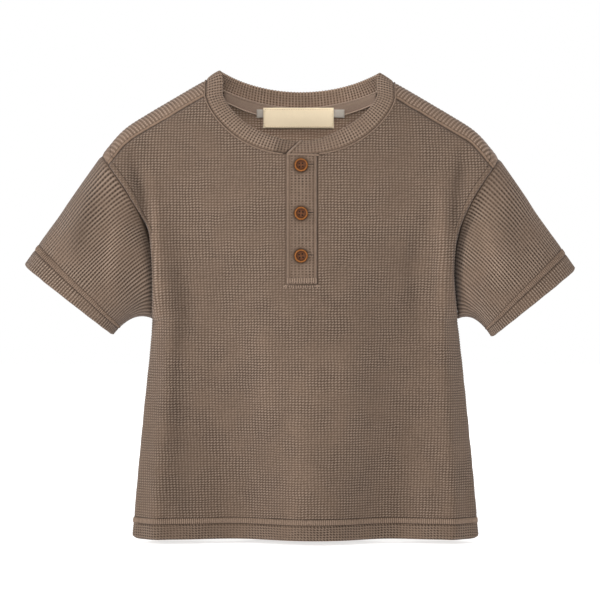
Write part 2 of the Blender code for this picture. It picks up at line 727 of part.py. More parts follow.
def neck_tape(material):
    x = np.linspace(-TAPE_HALF, TAPE_HALF, TAPE_COLUMNS)
    share = np.linspace(0.0, 1.0, 3)[:, None]
    top = back_neck_z(x) - TAPE_BELOW_SEAM
    drop = TAPE_WIDTH * (1.0 - TAPE_TAPER * (x / TAPE_HALF) ** 2)
    grid = inside_back(x + 0.0 * share, top - drop * share, WALL + TAPE_GAP)
    return cloth("neck_tape", grid, material, TAPE_WALL, bevel=0.0)


def flat_label(name, sides, depth, material, wall):
    left, right, bottom, top = sides
    columns, rows = LABEL_GRID
    x = np.linspace(left, right, columns)
    z = np.linspace(top, bottom, rows)[:, None]
    grid = inside_back(x + 0.0 * z, z + 0.0 * x, depth)
    return cloth(name, grid, material, wall, bevel=0.0)


def size_tab(material):
    depth = WALL + TAPE_GAP + TAPE_WALL + SEAM_GAP
    return flat_label("size_tab", (TAB_LEFT, TAB_RIGHT, TAB_BOTTOM, TAB_TOP), depth,
                      material, TAPE_WALL)


def label(material):
    depth = WALL + TAPE_GAP + 2.0 * TAPE_WALL + 2.0 * SEAM_GAP
    return flat_label("label", (LABEL_LEFT, LABEL_RIGHT, LABEL_BOTTOM, LABEL_TOP), depth,
                      material, LABEL_WALL)


# ---- buttons -------------------------------------------------------------

def turned(name, profile, material):
    mesh = bpy.data.meshes.new(name)
    edges = [(number, number + 1) for number in range(len(profile) - 1)]
    mesh.from_pydata([(radius * MM, 0.0, height * MM) for radius, height in profile], edges, [])
    mesh.materials.append(material)
    piece = bpy.data.objects.new(name, mesh)
    bpy.data.collections["henley_shirt"].objects.link(piece)
    screw = piece.modifiers.new("turn", "SCREW")
    screw.steps = BUTTON_STEPS
    screw.render_steps = BUTTON_STEPS
    screw.use_merge_vertices = True
    screw.merge_threshold = 0.00001
    return piece


def hole_cutter(name, x, y):
    bpy.ops.mesh.primitive_cylinder_add(vertices=HOLE_STEPS, radius=0.5 * BUTTON_HOLE * MM,
                                        depth=4.0 * BUTTON_THICK * MM,
                                        location=(x * MM, y * MM, 0.0))
    cutter = bpy.context.object
    cutter.name = name
    cutter.hide_render = True
    return cutter


def button(number, height, material):
    radius = 0.5 * BUTTON_DIAMETER
    inner = radius - BUTTON_RIM
    floor = BUTTON_THICK - BUTTON_DISH
    edge = BUTTON_EDGE
    profile = [(0.0, 0.0), (radius - edge, 0.0), (radius, edge), (radius, BUTTON_THICK - edge),
               (radius - edge, BUTTON_THICK), (inner + 0.3 * edge, BUTTON_THICK),
               (inner - 0.7 * edge, floor), (0.0, floor)]
    piece = turned(f"button_{number}", profile, material)
    offset = 0.5 * BUTTON_HOLE_SPACING
    for corner, (x, y) in enumerate(((-1, -1), (1, -1), (-1, 1), (1, 1))):
        cutter = hole_cutter(f"hole_{number}_{corner}", x * offset, y * offset)
        cut = piece.modifiers.new(f"hole_{corner}", "BOOLEAN")
        cut.operation = "DIFFERENCE"
        cut.solver = "EXACT"
        cut.object = cutter
        cutter.parent = piece
    column = np.array(column_at(BUTTON_X))
    lift = PLACKET_PROUD + SEAM_GAP
    foot = moved_out(column, np.array(height), "front", lift)
    facing = moved_out(column, np.array(height), "front", lift + 1.0) - foot
    tilt = math.atan2(-facing[1], facing[2])
    piece.location = foot * MM
    piece.rotation_euler = (tilt, 0.0, 0.0)
    return piece


def main():
    clear_scene()
    make_collection()
    knit = make_material("waffle_knit", KNIT_COLOUR, CLOTH_ROUGHNESS)
    band = make_material("neckband_knit", BAND_COLOUR, CLOTH_ROUGHNESS)
    tape = make_material("neck_tape", TAPE_COLOUR, CLOTH_ROUGHNESS)
    cream = make_material("label_cream", LABEL_COLOUR, CLOTH_ROUGHNESS)
    grey = make_material("size_tab_grey", TAB_COLOUR, CLOTH_ROUGHNESS)
    shell = make_material("button_brown", BUTTON_COLOUR, BUTTON_ROUGHNESS)
    front_panel(knit)
    back_panel(knit)
    for side, sizes in SLEEVES.items():
        sleeve(f"sleeve_{side}", sizes, knit)
    neckband(band)
    placket_over(knit)
    placket_under(knit)
    neck_tape(tape)
    size_tab(grey)
    label(cream)
    for number, height in enumerate(BUTTON_HEIGHTS, start=1):
        button(number, height, shell)


main()
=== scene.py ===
"""Child's henley shirt in brown waffle knit, filled out as worn: the looks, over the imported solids.

Units: the sizes below are millimetres, and MM turns them into metres.
Axes: +X is the viewer's right, the front faces -Y, +Z is up, as in the frame.
"""
import math

import bpy
import numpy as np
from mathutils import Matrix, Vector


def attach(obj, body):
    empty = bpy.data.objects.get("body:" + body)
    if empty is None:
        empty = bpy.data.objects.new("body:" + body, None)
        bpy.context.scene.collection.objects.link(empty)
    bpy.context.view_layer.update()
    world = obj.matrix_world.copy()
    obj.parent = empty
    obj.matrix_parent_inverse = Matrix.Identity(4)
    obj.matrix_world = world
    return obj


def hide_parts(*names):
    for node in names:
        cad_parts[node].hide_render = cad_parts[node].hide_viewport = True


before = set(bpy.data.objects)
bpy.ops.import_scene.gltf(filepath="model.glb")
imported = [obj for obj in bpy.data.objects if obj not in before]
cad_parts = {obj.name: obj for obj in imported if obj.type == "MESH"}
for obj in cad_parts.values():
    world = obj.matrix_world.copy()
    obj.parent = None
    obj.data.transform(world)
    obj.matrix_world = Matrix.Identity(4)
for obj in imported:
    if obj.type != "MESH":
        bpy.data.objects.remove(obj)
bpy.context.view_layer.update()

MM = 0.001

# ---- sizes of the shirt, as in the solids but where a comment says otherwise
WALL = 1.6
HEM_Z = -385.7
HEM_CORNER_LIFT = 1.8        # at the side seams; the solids have 3.0
HEM_CORNER_HALF = 7.0        # and over this length beside them
UNDERARM_Z = -200.0
UNDERARM_HALF = 129.0
HEM_FLARE = 22.0
HEM_FLARE_EASE = 3.5
BODY_LEAN = 4.7
BODY_LEAN_FROM = (60.0, 200.0)       # depths below the neck points
CENTRE_HALF = 127.5

NECK_HALF = 79.5
NECK_FRONT_Z = -61.8
NECK_BACK_Z = -17.5
NECK_POWER_X = 2.3
NECK_POWER_Z = 1.4
BAND_WIDTH = 14.8
BAND_WALL = 2.6
BAND_WIDER_RIGHT = 1.6
BAND_WIDER_AT = 45.0
BAND_WIDER_HALF = 28.0
BAND_FOLD_IN = 0.38
BAND_RISE_SIDE = (21.0, 29.0)
BAND_RISE_BACK = 66.0
BAND_DIP = 0.5
BAND_DIP_HALF = 25.0
BAND_BULGE = 0.7
BAND_SLANT = 12.0
BAND_TUCK = 4.6
BAND_TUCK_OVER = (38.0, 27.0)        # lengths from the band's end
BAND_TURN = (-17.0, -4.0)            # depths between its front lean and its back one

NECK_POINT_Z = 3.6
SHOULDER_TIP_HALF = 168.8
SHOULDER_TIP_Z = (-60.3, -64.6)
SHOULDER_SLOPE = 0.61
SHOULDER_PEAK_SOFT = 30.0
SHOULDER_BEND = 0.68
SHOULDER_BEND_X = 151.0
SHOULDER_BEND_SOFT = 4.0
SHOULDER_RIGHT_DROP = 2.0
SEAM_FORWARD = 14.5
SEAM_FORWARD_TIP = 18.0
SEAM_TIP_FROM = (140.0, 160.0)
SHOULDER_DROP_OVER = 60.0            # from the middle, each side

PLACKET_LEFT = -11.3
PLACKET_RIGHT = 14.2
PLACKET_BOTTOM = -170.6
PLACKET_WALL = 2.2
PLACKET_PROUD = 0.5
UNDER_STRIP_BACK = 2.9
BUTTON_X = 0.9
BUTTON_HEIGHTS = (-71.4, -111.5, -146.9)
BUTTON_DIAMETER = 11.5
BUTTON_THICK = 2.4
BUTTON_HOLE = 1.5
BUTTON_HOLE_SPACING = 2.7

TAPE_WIDTH = 10.4
TAPE_HALF = 66.0
TAPE_GAP = 0.7
TAPE_WALL = 1.0
TAPE_BELOW_SEAM = 0.8
TAPE_TAPER = 0.2
TAB_LEFT = -38.0
TAB_RIGHT = 39.0
TAB_TOP = -18.2
TAB_BOTTOM = -25.4
LABEL_LEFT = -32.4
LABEL_RIGHT = 29.8
LABEL_TOP = -16.4
LABEL_BOTTOM = -34.2
LABEL_WALL = 1.0
LAYER_GAP = 0.3              # between tape, tab and label

ARMHOLE_REACH = 10
ARMHOLE_LATE = 0.95          # below 1, an armhole's scoop sits lower
ARMHOLE_SCOOP_POWER = 1.2
ARM_DEPTH_FROM = -100.0      # an armhole gets shallower from here to the underarm
ARM_DEPTH_POWER = 2.2
FOLD_FADE = (35.0, 60.0)     # a fold starts this far above its fade height and is full this far below

FACES = {
    "front": dict(sign=-1.0, chest=46.0, hem=38.0, round_z=-110.0, scoop=18.5, arm=32.0),
    "back": dict(sign=1.0, chest=47.0, hem=40.0, round_z=-95.0, scoop=9.0, arm=33.0),
}

# Standing folds: x at the top and at the hem, half width, how far the fold
# stands out at mid body and at the hem (minus is a hollow), and where it fades in.
FOLDS = {
    "front": (
        dict(x_top=-116.0, x_hem=-128.0, width=9.5, mid=7.0, hem=8.0, fade=-115.0),
        dict(x_top=-72.0, x_hem=-58.0, width=40.0, mid=-12.0, hem=-24.5, fade=-140.0),
        dict(x_top=82.0, x_hem=69.0, width=33.0, mid=-10.0, hem=-21.5, fade=-140.0),
        dict(x_top=118.0, x_hem=126.0, width=9.5, mid=7.0, hem=8.0, fade=-105.0),
    ),
    "back": (
        dict(x_top=-112.0, x_hem=-126.0, width=11.0, mid=5.0, hem=7.0, fade=-130.0),
        dict(x_top=-70.0, x_hem=-66.0, width=26.0, mid=-7.0, hem=-19.0, fade=-150.0),
        dict(x_top=0.0, x_hem=6.0, width=26.0, mid=0.0, hem=3.0, fade=-220.0),
        dict(x_top=66.0, x_hem=74.0, width=26.0, mid=-8.0, hem=-21.0, fade=-150.0),
        dict(x_top=112.0, x_hem=126.0, width=11.0, mid=5.0, hem=7.0, fade=-130.0),
    ),
}

SLEEVES = {
    "left": dict(side=-1.0, outer=(-234.2, -153.9), inner=(-159.0, -213.4), depth=29.0),
    "right": dict(side=1.0, outer=(234.2, -157.3), inner=(162.8, -215.1), depth=29.0),
}
SLEEVE_CREST_FRONT = 9.0
SLEEVE_CREST_BACK = 6.0
SLEEVE_CREST_AT = 0.55
SLEEVE_UNDER_LIFT = 8.0
CUFF_POWER = 2.2
SLEEVE_BEND = 0.026           # the ribs of a sleeve bow towards its crest
SLEEVE_BEND_EARLY = 0.55
SLEEVE_SPREAD = 0.30          # they lie wider apart along its crest and underside

# Creases: places (x, z), half width, and how far each stands out (minus is a hollow).
CREASES = {
    "front": (
        (((-126.0, -70.0), (-121.0, -104.0), (-119.0, -150.0), (-121.0, -236.0)), 5.0, 3.2),
        (((116.0, -76.0), (119.0, -110.0), (118.0, -150.0), (119.0, -214.0)), 6.0, 2.4),
        (((138.0, -52.0), (132.0, -95.0), (127.0, -140.0)), 5.0, -3.2),
        (((-142.0, -56.0), (-134.0, -90.0), (-129.5, -116.0), (-127.0, -146.0)), 4.5, -2.8),
        (((-101.0, -214.0), (-99.0, -300.0), (-97.0, -400.0)), 9.0, -1.6),
        (((4.0, -214.0), (0.0, -300.0), (-8.0, -410.0)), 15.0, 1.6),
        (((-104.0, -150.0), (-96.0, -196.0), (-101.0, -240.0)), 8.0, -1.8),
        (((-34.0, -196.0), (-28.0, -240.0), (-31.0, -300.0)), 11.0, 1.3),
        (((101.0, -120.0), (92.0, -160.0), (97.0, -214.0)), 7.0, -1.6),
        (((40.0, -210.0), (34.0, -262.0), (38.0, -330.0)), 12.0, 1.2),
        (((-16.0, -176.0), (-30.0, -190.0), (-46.0, -198.0)), 4.0, -0.9),
        (((18.0, -176.0), (30.0, -187.0), (47.0, -193.0)), 4.0, -0.8),
    ),
    "back": (
        (((-118.0, -92.0), (-108.0, -130.0), (-112.0, -176.0)), 6.0, 2.2),
        (((-92.0, -146.0), (-84.0, -206.0), (-90.0, -262.0)), 8.0, -1.7),
        (((-22.0, -120.0), (-26.0, -190.0), (-18.0, -270.0)), 12.0, 1.2),
        (((34.0, -150.0), (38.0, -230.0), (30.0, -310.0)), 10.0, -1.3),
        (((116.0, -96.0), (106.0, -142.0), (110.0, -190.0)), 6.0, 2.0),
        (((88.0, -160.0), (92.0, -220.0), (84.0, -280.0)), 8.0, -1.5),
    ),
    "sleeve_left": (
        (((-171.0, -88.0), (-183.0, -121.0), (-190.0, -154.0)), 8.0, -2.4),
        (((-157.0, -113.0), (-162.0, -152.0), (-164.0, -184.0)), 7.0, 2.0),
        (((-196.0, -104.0), (-205.0, -126.0), (-214.0, -150.0)), 6.0, 1.0),
    ),
    "sleeve_right": (
        (((167.0, -100.0), (177.0, -134.0), (184.0, -159.0)), 9.0, -1.8),
        (((150.0, -104.0), (158.0, -146.0), (170.0, -182.0)), 7.0, 1.6),
        (((190.0, -98.0), (203.0, -122.0), (216.0, -146.0)), 7.0, 1.1),
    ),
}
ARMHOLE_SINK = {"left": 5.0, "right": 6.5}    # how far the cloth draws in along the lower armhole
CREASE_IN = (-0.1, 0.35)      # shares of a crease's length over which it comes and goes
CREASE_OUT = (0.6, 1.1)
SINK_PANEL = 4.0
SINK_SLEEVE = 9.0
SINK_FROM = (-86.0, -125.0)
SINK_TO = (-182.0, -202.0)
SINK_SHARE = 0.45
ARM_PAINTED_SHADE = {"left": 0.62, "right": 0.84}      # painted shade down there, how much darker it makes the cloth
DARK_FROM = (-88.0, -172.0)
DARK_PANEL = 3.2
DARK_SLEEVE = 6.5
# painted shade in the creases' hollows and painted highlight on their crests, per millimetre they stand out
CREASE_PAINTED_LIGHT = 0.085
INSIDE_PAINTED_SHADE = 0.42            # painted shade on the inside beside the neck, under the band
# painted shade on the band's inner side towards the sides of the neck
BAND_PAINTED_SHADE = 0.45
INSIDE_DARK_X = (26.0, 56.0)
INSIDE_DARK_Z = (-90.0, -60.0)
BAND_DARK_X = (50.0, 78.0)
BAND_DARK_UP = (0.5, 0.6)     # shares of the band's section, from its outer foot

# ---- the knit --------------------------------------------------------------
WALE = 2.72                   # spacing of the upright ridges
COURSE_HEM = 2.15             # spacing of the level ridges at the hem
COURSE_GAIN = 0.0006          # they spread a little with each one up
COURSE_BACK = 2.3             # spacing over the back of the shoulders
SLEEVE_RIBS = 98              # ridges round a sleeve
SLEEVE_LENGTH = 96.0          # the solids have 95.0
SLEEVE_DOT = 2.75             # spacing of the rungs along a sleeve
WOBBLE = 0.40                 # how far a stitch of the knit strays from its place
WOBBLE_SPAN = 3.2             # and over how many stitches it does so
ARM_STITCHING = 8.4           # the armhole's topstitching from its seam
ARM_STITCHING_TO = (126.0, 146.0)    # and how far down the front it shows
BAND_RIB = 2.85
BAND_COURSE = 2.35
PLACKET_WALE = 3.0
PLACKET_COURSE = 2.35
RELIEF = 0.42                 # half height of the ridges
SEAM_DIP = 0.9                # cloth sinks this far into a seam
SEAM_REACH = 1.6
STITCH_BAND = (12.9, 18.3)    # cover stitches above a hem
STITCH_PITCH = 1.7
STITCH_RADIUS = 0.56
STITCH_SUNK = 0.2
HEM_ROUND = 1.5               # the turned edge of a hem
STITCH_BAND_IN = (STITCH_BAND[0] - 0.3, STITCH_BAND[0] + 0.5)
STITCH_BAND_OUT = (STITCH_BAND[1] - 0.5, STITCH_BAND[1] + 0.3)
WELT = 2.4                    # width of the smooth fold beside a seam
SHOULDER_STRIP = (40.0, 60.0)        # within this of its seam, the strip before the shoulder ridge
SOFT_EDGE = 0.8               # the placket's left edge rolls over the panel, with no sunk line
SEAM_OVER = 0.45              # how far the cloth runs on past its seam
HEM_SHORT = 0.05              # and stops before its hem
EDGE_IN = 0.01                # keeps a grid's own border inside its cut
FAR = 99.0                    # stands for no seam or hem close by
# Shares of the level, upright and corner waves in each piece's knit.
PANEL_WAFFLE = (0.30, 0.36, 0.18)
STRIP_WAFFLE = (0.42, 0.12, 0.10)
INSIDE_WAFFLE = (0.20, 0.30, 0.20)
SLEEVE_WAFFLE = (0.12, 0.56, -0.12)
BAND_WAFFLE = (0.62, 0.22, -0.12)
PLACKET_WAFFLE = (0.26, 0.26, -0.26)
KNIT_SEEDS = {"front": 11, "back": 21, "sleeve": 31}

# ---- grids -----------------------------------------------------------------
OUTSIDE_STEP = 0.5            # knit cells between two points of a grid
INSIDE_STEP = 1.0
BAND_STEP = 1.0 / 3.0
OVER_STRIP_STEP = 0.25
FRONT_WALES = 66.0            # wales from the middle to past the side seam
BACK_WALES = 78.0
SHOULDER_COURSES = 70.0       # courses from where the back rounds to past the shoulder seam
HALF_ROW = 240                # points from the middle of a row to its end
END_SPAN = 40                 # points at the end of a line that give the way it goes on
TABLE_SPAN = 190.0            # the shoulders as a table: x from minus to plus this
TABLE_STEP = 1.25
TABLE_RISE = 230.0
SHOULDER_SPREAD = 125.0       # past this x the wales over the shoulder go on evenly
PROFILE_STEPS = 48
ARMHOLE_MARKS = 201
NECK_FINE = (96, 24, 120)     # steps of the neck seam at the front, a shoulder and the back
NECK_COARSE = (12, 4, 18)
CORD_STEP = 1.2

# ---- colours, camera and lights --------------------------------------------
WARM = (1.0, 0.86, 0.80)
# The knit's colours by the height of its relief: the pits painted darker and the crests lighter, painted
# shade and painted highlight round the yarn's brown.
PIT = (0.034, 0.021, 0.013)
MIDDLE = (0.138, 0.092, 0.064)
CREST = (0.264, 0.196, 0.150)

CAMERA_DISTANCE = 2.2         # these and the lights are in metres
CAMERA_Z = -0.1836
PICTURE_WIDE = 0.510          # what the picture's width spans at the shirt's middle
SENSOR = 36.0
FLOOR_BELOW = 4.0             # millimetres under the hem
FLOOR_GLOW = (0.70, 1.0)      # close to the shirt and far from it
FLOOR_GLOW_FROM = (0.25, 1.5)
ROOM_LIGHT = 0.18
# Place, size and power of each light.
LIGHTS = {
    "key": ((-2.1, -1.0, 0.35), 0.7, 36.0),
    "fill": ((-0.1, -2.4, 0.30), 0.7, 30.0),
    "top": ((0.60, -0.66, 0.70), 0.5, 5.4),
    "back": ((0.9, 2.3, 0.9), 1.0, 24.0),
}

# ---- buttons ---------------------------------------------------------------
BUTTON_TURNS = 48
BUTTON_TURNED = (4.0, -7.0, 11.0)    # degrees round its own axis
# Radius and height of a button's section, as shares of its radius and thickness.
BUTTON_SECTION = ((0.0, 0.0), (0.80, 0.0), (0.93, 0.08), (0.99, 0.30), (1.0, 0.55), (0.975, 0.80),
                  (0.91, 0.95), (0.82, 1.0), (0.73, 0.95), (0.65, 0.80), (0.58, 0.62), (0.50, 0.56),
                  (0.25, 0.54), (0.0, 0.53))


# ---- small maths -----------------------------------------------------------

def smoothstep(value, start, end):
    """0 at start, 1 at end, level at both."""
    ratio = np.clip((value - start) / (end - start), 0.0, 1.0)
    return ratio * ratio * (3.0 - 2.0 * ratio)


def soft_ramp(value, soft):
    return soft * np.logaddexp(0.0, value / soft)


def bell(value, half):
    """1 at zero, fading out over about twice the half width."""
    return np.exp(-(value / half) ** 2)


def soft_noise(seed, first, second):
    """Smooth random values from -1 to 1 over a plane, about one unit from one to the next."""
    table = np.random.default_rng(seed).uniform(-1.0, 1.0, (64, 64))
    first, second = np.broadcast_arrays(first, second)
    row, column = np.floor(first).astype(int), np.floor(second).astype(int)
    down, over = smoothstep(first - row, 0.0, 1.0), smoothstep(second - column, 0.0, 1.0)
    row, column = row % 64, column % 64
    below, beside = (row + 1) % 64, (column + 1) % 64
    near = table[row, column] * (1.0 - down) + table[below, column] * down
    far = table[row, beside] * (1.0 - down) + table[below, beside] * down
    return near * (1.0 - over) + far * over


def look_up(table, row, column):
    """Values of a table between its entries, by fractional row and column."""
    row = np.clip(row, 0.0, table.shape[0] - 1.001)
    column = np.clip(column, 0.0, table.shape[1] - 1.001)
    top, left = row.astype(int), column.astype(int)
    down, over = (row - top)[..., None], (column - left)[..., None]
    near = table[top, left] * (1.0 - down) + table[top + 1, left] * down
    far = table[top, left + 1] * (1.0 - down) + table[top + 1, left + 1] * down
    return near * (1.0 - over) + far * over


def unit(vectors):
    return vectors / np.maximum(np.linalg.norm(vectors, axis=-1, keepdims=True), 1e-9)


def run_along(points):
    """Length along a line of points, from its first one."""
    steps = np.linalg.norm(np.diff(points, axis=0), axis=-1)
    return np.concatenate([np.zeros((1,) + steps.shape[1:]), np.cumsum(steps, axis=0)])


def at_length(wanted, run, points):
    """Points of a line at the wanted lengths, going straight on past its ends."""
    found = np.stack([np.interp(wanted, run, points[:, axis]) for axis in range(3)], axis=-1)
    near = min(END_SPAN, len(points) - 1)
    first = unit(points[0] - points[near]) * np.clip(run[0] - wanted, 0.0, None)[:, None]
    last = unit(points[-1] - points[-1 - near]) * np.clip(wanted - run[-1], 0.0, None)[:, None]
    return found + first + last


def bisect(error, low, high, shape):
    """Where the rising function error is zero, by halving."""
    low = np.full(shape, float(low))
    high = np.full(shape, float(high))
    for _ in range(40):
        middle = 0.5 * (low + high)
        above = error(middle) > 0.0
        high = np.where(above, middle, high)
        low = np.where(above, low, middle)
    return 0.5 * (low + high)


# ---- the body as a surface -------------------------------------------------

def ridge_z(x):
    slope_run = np.sqrt(x * x + SHOULDER_PEAK_SOFT ** 2)
    neck_run = math.hypot(NECK_HALF, SHOULDER_PEAK_SOFT)
    bend = SHOULDER_BEND * soft_ramp(np.abs(x) - SHOULDER_BEND_X, SHOULDER_BEND_SOFT)
    drop = SHOULDER_RIGHT_DROP * smoothstep(x, -SHOULDER_DROP_OVER, SHOULDER_DROP_OVER)
    return NECK_POINT_Z - SHOULDER_SLOPE * (slope_run - neck_run) - bend - drop


def seam_half(xi, z, face):
    """Half width of the body at its armhole seam or side seam."""
    top = np.where(xi < 0.0, SHOULDER_TIP_Z[0], SHOULDER_TIP_Z[1])
    down = np.clip((top - z) / (top - UNDERARM_Z), 0.0, 1.0)
    late = down ** ARMHOLE_LATE
    scoop = FACES[face]["scoop"] * (4.0 * late * (1.0 - late)) ** ARMHOLE_SCOOP_POWER
    armhole = SHOULDER_TIP_HALF + (UNDERARM_HALF - SHOULDER_TIP_HALF) * down - scoop
    below = np.clip((UNDERARM_Z - z) / (UNDERARM_Z - HEM_Z), 0.0, None)
    side = UNDERARM_HALF + HEM_FLARE * below - HEM_FLARE_EASE * below ** 2
    return np.where(z > UNDERARM_Z, armhole, side)


def lean_at(z):
    return BODY_LEAN * smoothstep(-z, *BODY_LEAN_FROM)


def body_x(xi, z, face):
    half = seam_half(xi, z, face)
    return CENTRE_HALF * xi + (half - CENTRE_HALF) * xi ** 3 + lean_at(z) * xi * xi


def fold_depth(xi, x, z, face):
    total = 0.0
    for fold in FOLDS[face]:
        down = smoothstep(-z, -UNDERARM_Z, -HEM_Z)
        centre = fold["x_top"] + (fold["x_hem"] - fold["x_top"]) * down
        reach = fold["mid"] + (fold["hem"] - fold["mid"]) * down
        reach = reach * smoothstep(-z, -fold["fade"] - FOLD_FADE[0], -fold["fade"] + FOLD_FADE[1])
        total = total + reach * bell(x - lean_at(z) - centre, fold["width"])
    return total * (1.0 - np.abs(xi) ** ARMHOLE_REACH)


def body_depth(xi, z, face):
    sizes = FACES[face]
    xi = np.clip(xi, -1.0, 1.0)
    x = body_x(xi, z, face)
    down = np.clip((ARM_DEPTH_FROM - z) / (ARM_DEPTH_FROM - UNDERARM_Z), 0.0, 1.0)
    seam = sizes["arm"] * np.sqrt(np.clip(1.0 - down ** ARM_DEPTH_POWER, 0.0, 1.0))
    middle = sizes["chest"] + (sizes["hem"] - sizes["chest"]) * smoothstep(-z, -UNDERARM_Z, -HEM_Z)
    arch = np.sqrt(np.clip(1.0 - xi * xi, 0.0, 1.0))
    return middle * arch + seam * np.abs(xi) ** ARMHOLE_REACH + fold_depth(xi, x, z, face)


def body_point(xi, z, face):
    xi, z = np.broadcast_arrays(np.asarray(xi, float), np.asarray(z, float))
    start = FACES[face]["round_z"]
    x = body_x(xi, z, face)
    climb = np.clip((z - start) / (ridge_z(x) - start), 0.0, 1.0)
    y = FACES[face]["sign"] * body_depth(xi, z, face) * np.sqrt(1.0 - climb ** 2)
    return np.stack([x, y, z], axis=-1)


def shoulder_seam_z(x):
    forward = SEAM_FORWARD + (SEAM_FORWARD_TIP - SEAM_FORWARD) * smoothstep(np.abs(x), *SEAM_TIP_FROM)
    return ridge_z(x) - forward


def front_neck_z(x):
    corner = shoulder_seam_z(np.sign(x) * NECK_HALF)
    inside = np.clip(1.0 - (np.abs(x) / NECK_HALF) ** NECK_POWER_X, 0.0, 1.0)
    return corner + (NECK_FRONT_Z - corner) * inside ** (1.0 / NECK_POWER_Z)


def back_neck_z(x):
    corner = ridge_z(np.sign(x) * NECK_HALF)
    inside = np.clip(1.0 - (x / NECK_HALF) ** 2, 0.0, 1.0)
    return corner + (NECK_BACK_Z - corner) * inside


def front_top_z(x):
    return np.where(np.abs(x) < NECK_HALF, front_neck_z(x), shoulder_seam_z(x))


def column_at(x, z, face):
    """Column of the body that passes x at height z."""
    return bisect(lambda xi: body_x(xi, z, face) - x, -1.3, 1.3, np.broadcast(x, z).shape)


def on_body(x, z, face, out=0.0):
    """Point of a face above x at height z, moved out from the cloth."""
    x, z = np.broadcast_arrays(np.asarray(x, float), np.asarray(z, float))
    step = 0.5
    here = body_point(column_at(x, z, face), z, face)
    beside = body_point(column_at(x + step, z, face), z, face) - here
    above = body_point(column_at(x, z + step, face), z + step, face) - here
    normal = unit(np.cross(beside, above)) * -FACES[face]["sign"]
    return here + normal * np.asarray(out)[..., None]


def crease_depth(x, z, creases):
    """How far the listed creases move the cloth at x, z in the front view."""
    total = np.zeros_like(x)
    for line, half, depth in creases:
        line = np.array(line)
        lengths = np.linalg.norm(np.diff(line, axis=0), axis=1)
        before = np.concatenate([[0.0], np.cumsum(lengths)])
        nearest = np.full(x.shape, 1e9)
        place = np.zeros_like(x)
        for number, length in enumerate(lengths):
            way = (line[number + 1] - line[number]) / length
            ahead = np.clip((x - line[number, 0]) * way[0] + (z - line[number, 1]) * way[1], 0.0, length)
            off = np.hypot(x - line[number, 0] - ahead * way[0], z - line[number, 1] - ahead * way[1])
            closer = off < nearest
            nearest = np.where(closer, off, nearest)
            place = np.where(closer, before[number] + ahead, place)
        share = place / before[-1]
        taper = smoothstep(share, *CREASE_IN) * (1.0 - smoothstep(share, *CREASE_OUT))
        total = total + depth * taper * bell(nearest, half)
    return total


def drawn_in(places, distance, reach):
    """A grid with the hollow along the lower armhole; both sides of the seam go in alike."""
    x, y, z = places[..., 0], places[..., 1], places[..., 2]
    deep = np.where(x < 0.0, ARMHOLE_SINK["left"], ARMHOLE_SINK["right"])
    deep = deep * smoothstep(-z, -SINK_FROM[0], -SINK_FROM[1])
    deep = deep * (1.0 - smoothstep(-z, -SINK_TO[0], -SINK_TO[1]))
    deep = np.minimum(deep, SINK_SHARE * np.abs(y)) * bell(np.clip(distance, 0.0, None), reach)
    moved = places.copy()
    moved[..., 1] = y - np.sign(y) * deep
    return moved


def arm_shade(places, distance, reach):
    """Painted shade down in the hollow along the lower armhole, 0 to 1: how much darker it makes the cloth.
    """
    x, z = places[..., 0], places[..., 2]
    deep = np.where(x < 0.0, ARM_PAINTED_SHADE["left"], ARM_PAINTED_SHADE["right"])
    low = smoothstep(-z, -DARK_FROM[0], -DARK_FROM[1])
    low = low * (1.0 - smoothstep(-z, -UNDERARM_Z - 2.0, -UNDERARM_Z + 10.0))
    return deep * low * bell(np.clip(distance, 0.0, None), reach)


def fold_shade(places, creases):
    """Painted shade in a crease's hollow and a painted highlight on its crest."""
    return -CREASE_PAINTED_LIGHT * crease_depth(places[..., 0], places[..., 2], creases)


def cloth_shade(places, seam, reach, creases):
    # painted shade of the armhole's hollow, with the painted shade and highlight of the creases
    return arm_shade(places, seam, reach) + fold_shade(places, creases)


def inside_shade(places):
    """Painted shade on the inside, deepest under the band at the sides of the neck."""
    x, z = places[..., 0], places[..., 2]
    return INSIDE_PAINTED_SHADE * smoothstep(np.abs(x), *INSIDE_DARK_X) * smoothstep(z, *INSIDE_DARK_Z)


def wobbled(places, seed, across, up):
    """The knit's stitches strayed a little sideways and along, by their counts."""
    beside = unit(np.gradient(places, axis=1))
    above = unit(np.gradient(places, axis=0))
    a, b = across / WOBBLE_SPAN, up / WOBBLE_SPAN
    return (places + beside * (WOBBLE * soft_noise(seed, a, b))[..., None]
            + above * (WOBBLE * soft_noise(seed + 1, a, b))[..., None])


def creased(places, facing, sink_distance, sink_reach, creases):
    """A cloth grid with the armhole's hollow and its own creases."""
    places = drawn_in(places, sink_distance, sink_reach)
    out = crease_depth(places[..., 0], places[..., 2], creases)
    return places + grid_normals(places, facing) * out[..., None]


# ---- meshes of cloth -------------------------------------------------------
def grid_normals(places, facing):
    across = np.gradient(places, axis=1)
    up = np.gradient(places, axis=0)
    return unit(np.cross(across, up)) * facing


